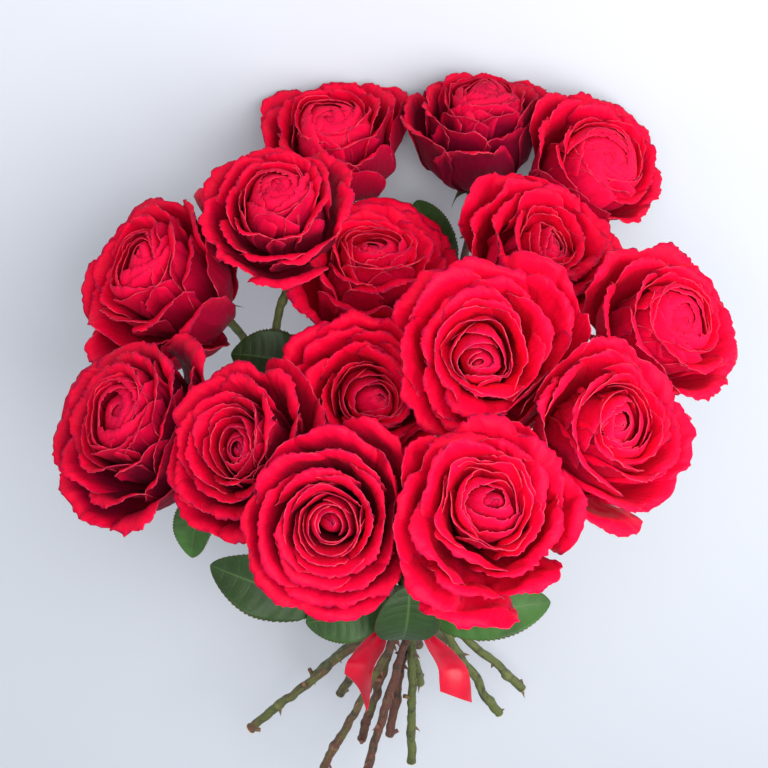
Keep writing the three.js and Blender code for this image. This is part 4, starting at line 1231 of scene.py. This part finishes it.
def knot_tree():
    """The knot: a pillow of ribbon, pinched at both sides where the loose ends leave it, with
    creases that run together there."""
    tree = GeometryTree("Ribbon knot", {"Size": (0.0, 0.0, 0.0)})
    ball = tree.add("GeometryNodeMeshUVSphere", {}, {"Segments": 96, "Rings": 48, "Radius": 1.0})
    x, y, z = tree.separate(tree.add("GeometryNodeInputPosition"))
    angle = tree.math("ARCTAN2", z, -1 * y)
    crease = tree.sine(angle * 6 + 2.2 * x) * (1 - x ** 2) ** 0.5
    swell = 1 + 0.07 * crease - 0.18 * tree.ramp(abs(x), 0.45, 1.0)
    sx, sy, sz = tree.separate(tree.given("Size"))
    return tree.end(tree.shaped(ball, tree.combine(
        0.5 * sx * x, 0.5 * sy * y * swell, 0.5 * sz * z * swell)))


def satin_material(settings):
    """Satin: fine threads across the gloss, so that it shines in bands."""
    material, tree = fresh_material("satin")
    coordinates = tree.coordinates()
    cloudy = tree.noise(coordinates, 60.0, 2.0)
    threads = tree.noise(tree.vector("MULTIPLY", coordinates, (1.0, 1.0, 14.0)), 900.0, 2.0)
    tree.into("Base Color", tree.mix(
        tree.ramp(cloudy, 0.35, 0.7) * 0.35, settings.satin, darker(settings.satin)))
    tree.into("Roughness", 0.26 + 0.14 * threads)
    tree.bump(threads, 0.12, 0.0002)
    tree.constants({"Sheen Weight": 0.10, "Sheen Roughness": 0.3, "Anisotropic": 0.5,
                    "Sheen Tint": (1.0, 0.7, 0.75, 1.0), "Specular IOR Level": 0.3})
    return material


class ROSES_OT_ribbon(bpy.types.Operator):
    """Make the ribbon: its band, knot and two loose ends"""
    bl_idname = "roses.ribbon"
    bl_label = "Ribbon"

    def execute(self, context):
        settings = context.scene.rose_ribbon
        satin = satin_material(settings)
        heights = (-WRAP_HALF_WIDTH, 0, WRAP_HALF_WIDTH)
        waist, edge = (
            max(point_at(path, height).xy.length for path in stem_paths for height in places)
            + 0.5 * STEM_ACROSS + WRAP_GAP for places in ((0,), heights))
        band = grown("ribbon_band", wrap_tree(), {
            "Waist": waist, "Edge": edge, "Half width": WRAP_HALF_WIDTH, "Material": satin})
        self.finish(band, "ribbon_wrap", settings.thickness)
        knot = grown("ribbon_knot_folds", knot_tree(), {"Size": KNOT_SIZE, "Material": satin})
        knot.data.transform(Matrix.Translation((0, -waist - KNOT_GAP - KNOT_SIZE[1] / 2, 0)))
        self.finish(knot, "ribbon_knot")
        group = tail_tree()
        for number, (name, path, across) in enumerate(TAILS, 1):
            tail = grown(f"{name}_satin", group, {
                "Across": across, "Seed": number, "Material": satin}, line_through(path))
            self.finish(tail, name, settings.thickness)
        return {"FINISHED"}

    def finish(self, piece, node, thickness=None):
        """Lays a piece of the ribbon, gives it its thickness and keeps it."""
        lay(piece)
        if thickness:
            thicken(piece, thickness)
        keep(piece, node)


# ---------------------------------------------------------------- stage

def area_light(name, place, target, size, power):
    """A round light, aimed at a target."""
    light = bpy.data.lights.new(name, "AREA")
    light.shape = "DISK"
    light.size = size
    light.energy = power
    lamp = bpy.data.objects.new(name, light)
    lamp.location = place
    lamp.rotation_euler = (place - target).to_track_quat("Z", "Y").to_euler()
    bpy.context.scene.collection.objects.link(lamp)


class ROSES_OT_stage(bpy.types.Operator):
    """Set the floor, the light and the camera"""
    bl_idname = "roses.stage"
    bl_label = "Stage"

    def execute(self, context):
        settings = context.scene.rose_stage
        mesh = bpy.data.meshes.new("floor")
        corners = [(x * FLOOR_REACH, y * FLOOR_REACH, 0) for x, y in
                   ((-1, -1), (1, -1), (1, 1), (-1, 1))]
        mesh.from_pydata(corners, [], [(0, 1, 2, 3)])
        material, tree = fresh_material("floor")
        tree.constants({"Base Color": (*settings.floor, 1.0), "Roughness": 0.9})
        mesh.materials.append(material)
        floor = bpy.data.objects.new("floor", mesh)
        context.scene.collection.objects.link(floor)

        turn = LYING.to_3x3().normalized()

        def seen(x, y, z):
            """A point by its distances right, up and towards the viewer from the tie."""
            return LYING @ (RIGHT * x + UPWARD * y + NEARER * z)

        camera = bpy.data.cameras.new("camera")
        camera.lens = LENS
        camera.sensor_width = SENSOR
        viewer = bpy.data.objects.new("camera", camera)
        basis = Matrix((turn @ RIGHT, turn @ UPWARD, turn @ NEARER)).transposed()
        viewer.matrix_world = Matrix.Translation(seen(*EYE)) @ basis.to_4x4()
        context.scene.collection.objects.link(viewer)
        context.scene.camera = viewer

        for name, (place, size, power) in LIGHTS.items():
            area_light(name, seen(*place), seen(*LIT_POINT), size, power)
        world = bpy.data.worlds.new("studio")
        world.use_nodes = True
        background = world.node_tree.nodes["Background"]
        background.inputs["Color"].default_value = (*SKY, 1.0)
        background.inputs["Strength"].default_value = SKY_STRENGTH
        context.scene.world = world
        context.scene.view_settings.view_transform = "Standard"
        return {"FINISHED"}


# ---------------------------------------------------------------- add-on

PARTS = (ROSES_OT_stage, ROSES_OT_stems, ROSES_OT_leaves, ROSES_OT_ribbon, ROSES_OT_blooms)


class ROSES_PT_bunch(bpy.types.Panel):
    """The bunch's pieces, in the 3D view's sidebar"""
    bl_label = "Bunch of roses"
    bl_idname = "ROSES_PT_bunch"
    bl_space_type = "VIEW_3D"
    bl_region_type = "UI"
    bl_category = "Roses"

    def draw(self, context):
        for part in PARTS:
            self.layout.operator(part.bl_idname)


SETTINGS = {"rose_blooms": BloomSettings, "rose_stems": StemSettings, "rose_leaves": LeafSettings,
            "rose_ribbon": RibbonSettings, "rose_stage": StageSettings}
CLASSES = (*SETTINGS.values(), *PARTS, ROSES_PT_bunch)


def register():
    for each in CLASSES:
        bpy.utils.register_class(each)
    for name, group in SETTINGS.items():
        setattr(bpy.types.Scene, name, bpy.props.PointerProperty(type=group))


def unregister():
    for name in SETTINGS:
        delattr(bpy.types.Scene, name)
    for each in reversed(CLASSES):
        bpy.utils.unregister_class(each)


def main():
    register()
    bpy.ops.roses.stage()
    bpy.ops.roses.stems()
    bpy.ops.roses.leaves()
    bpy.ops.roses.ribbon()
    bpy.ops.roses.blooms()


if __name__ == "__main__":
    main()
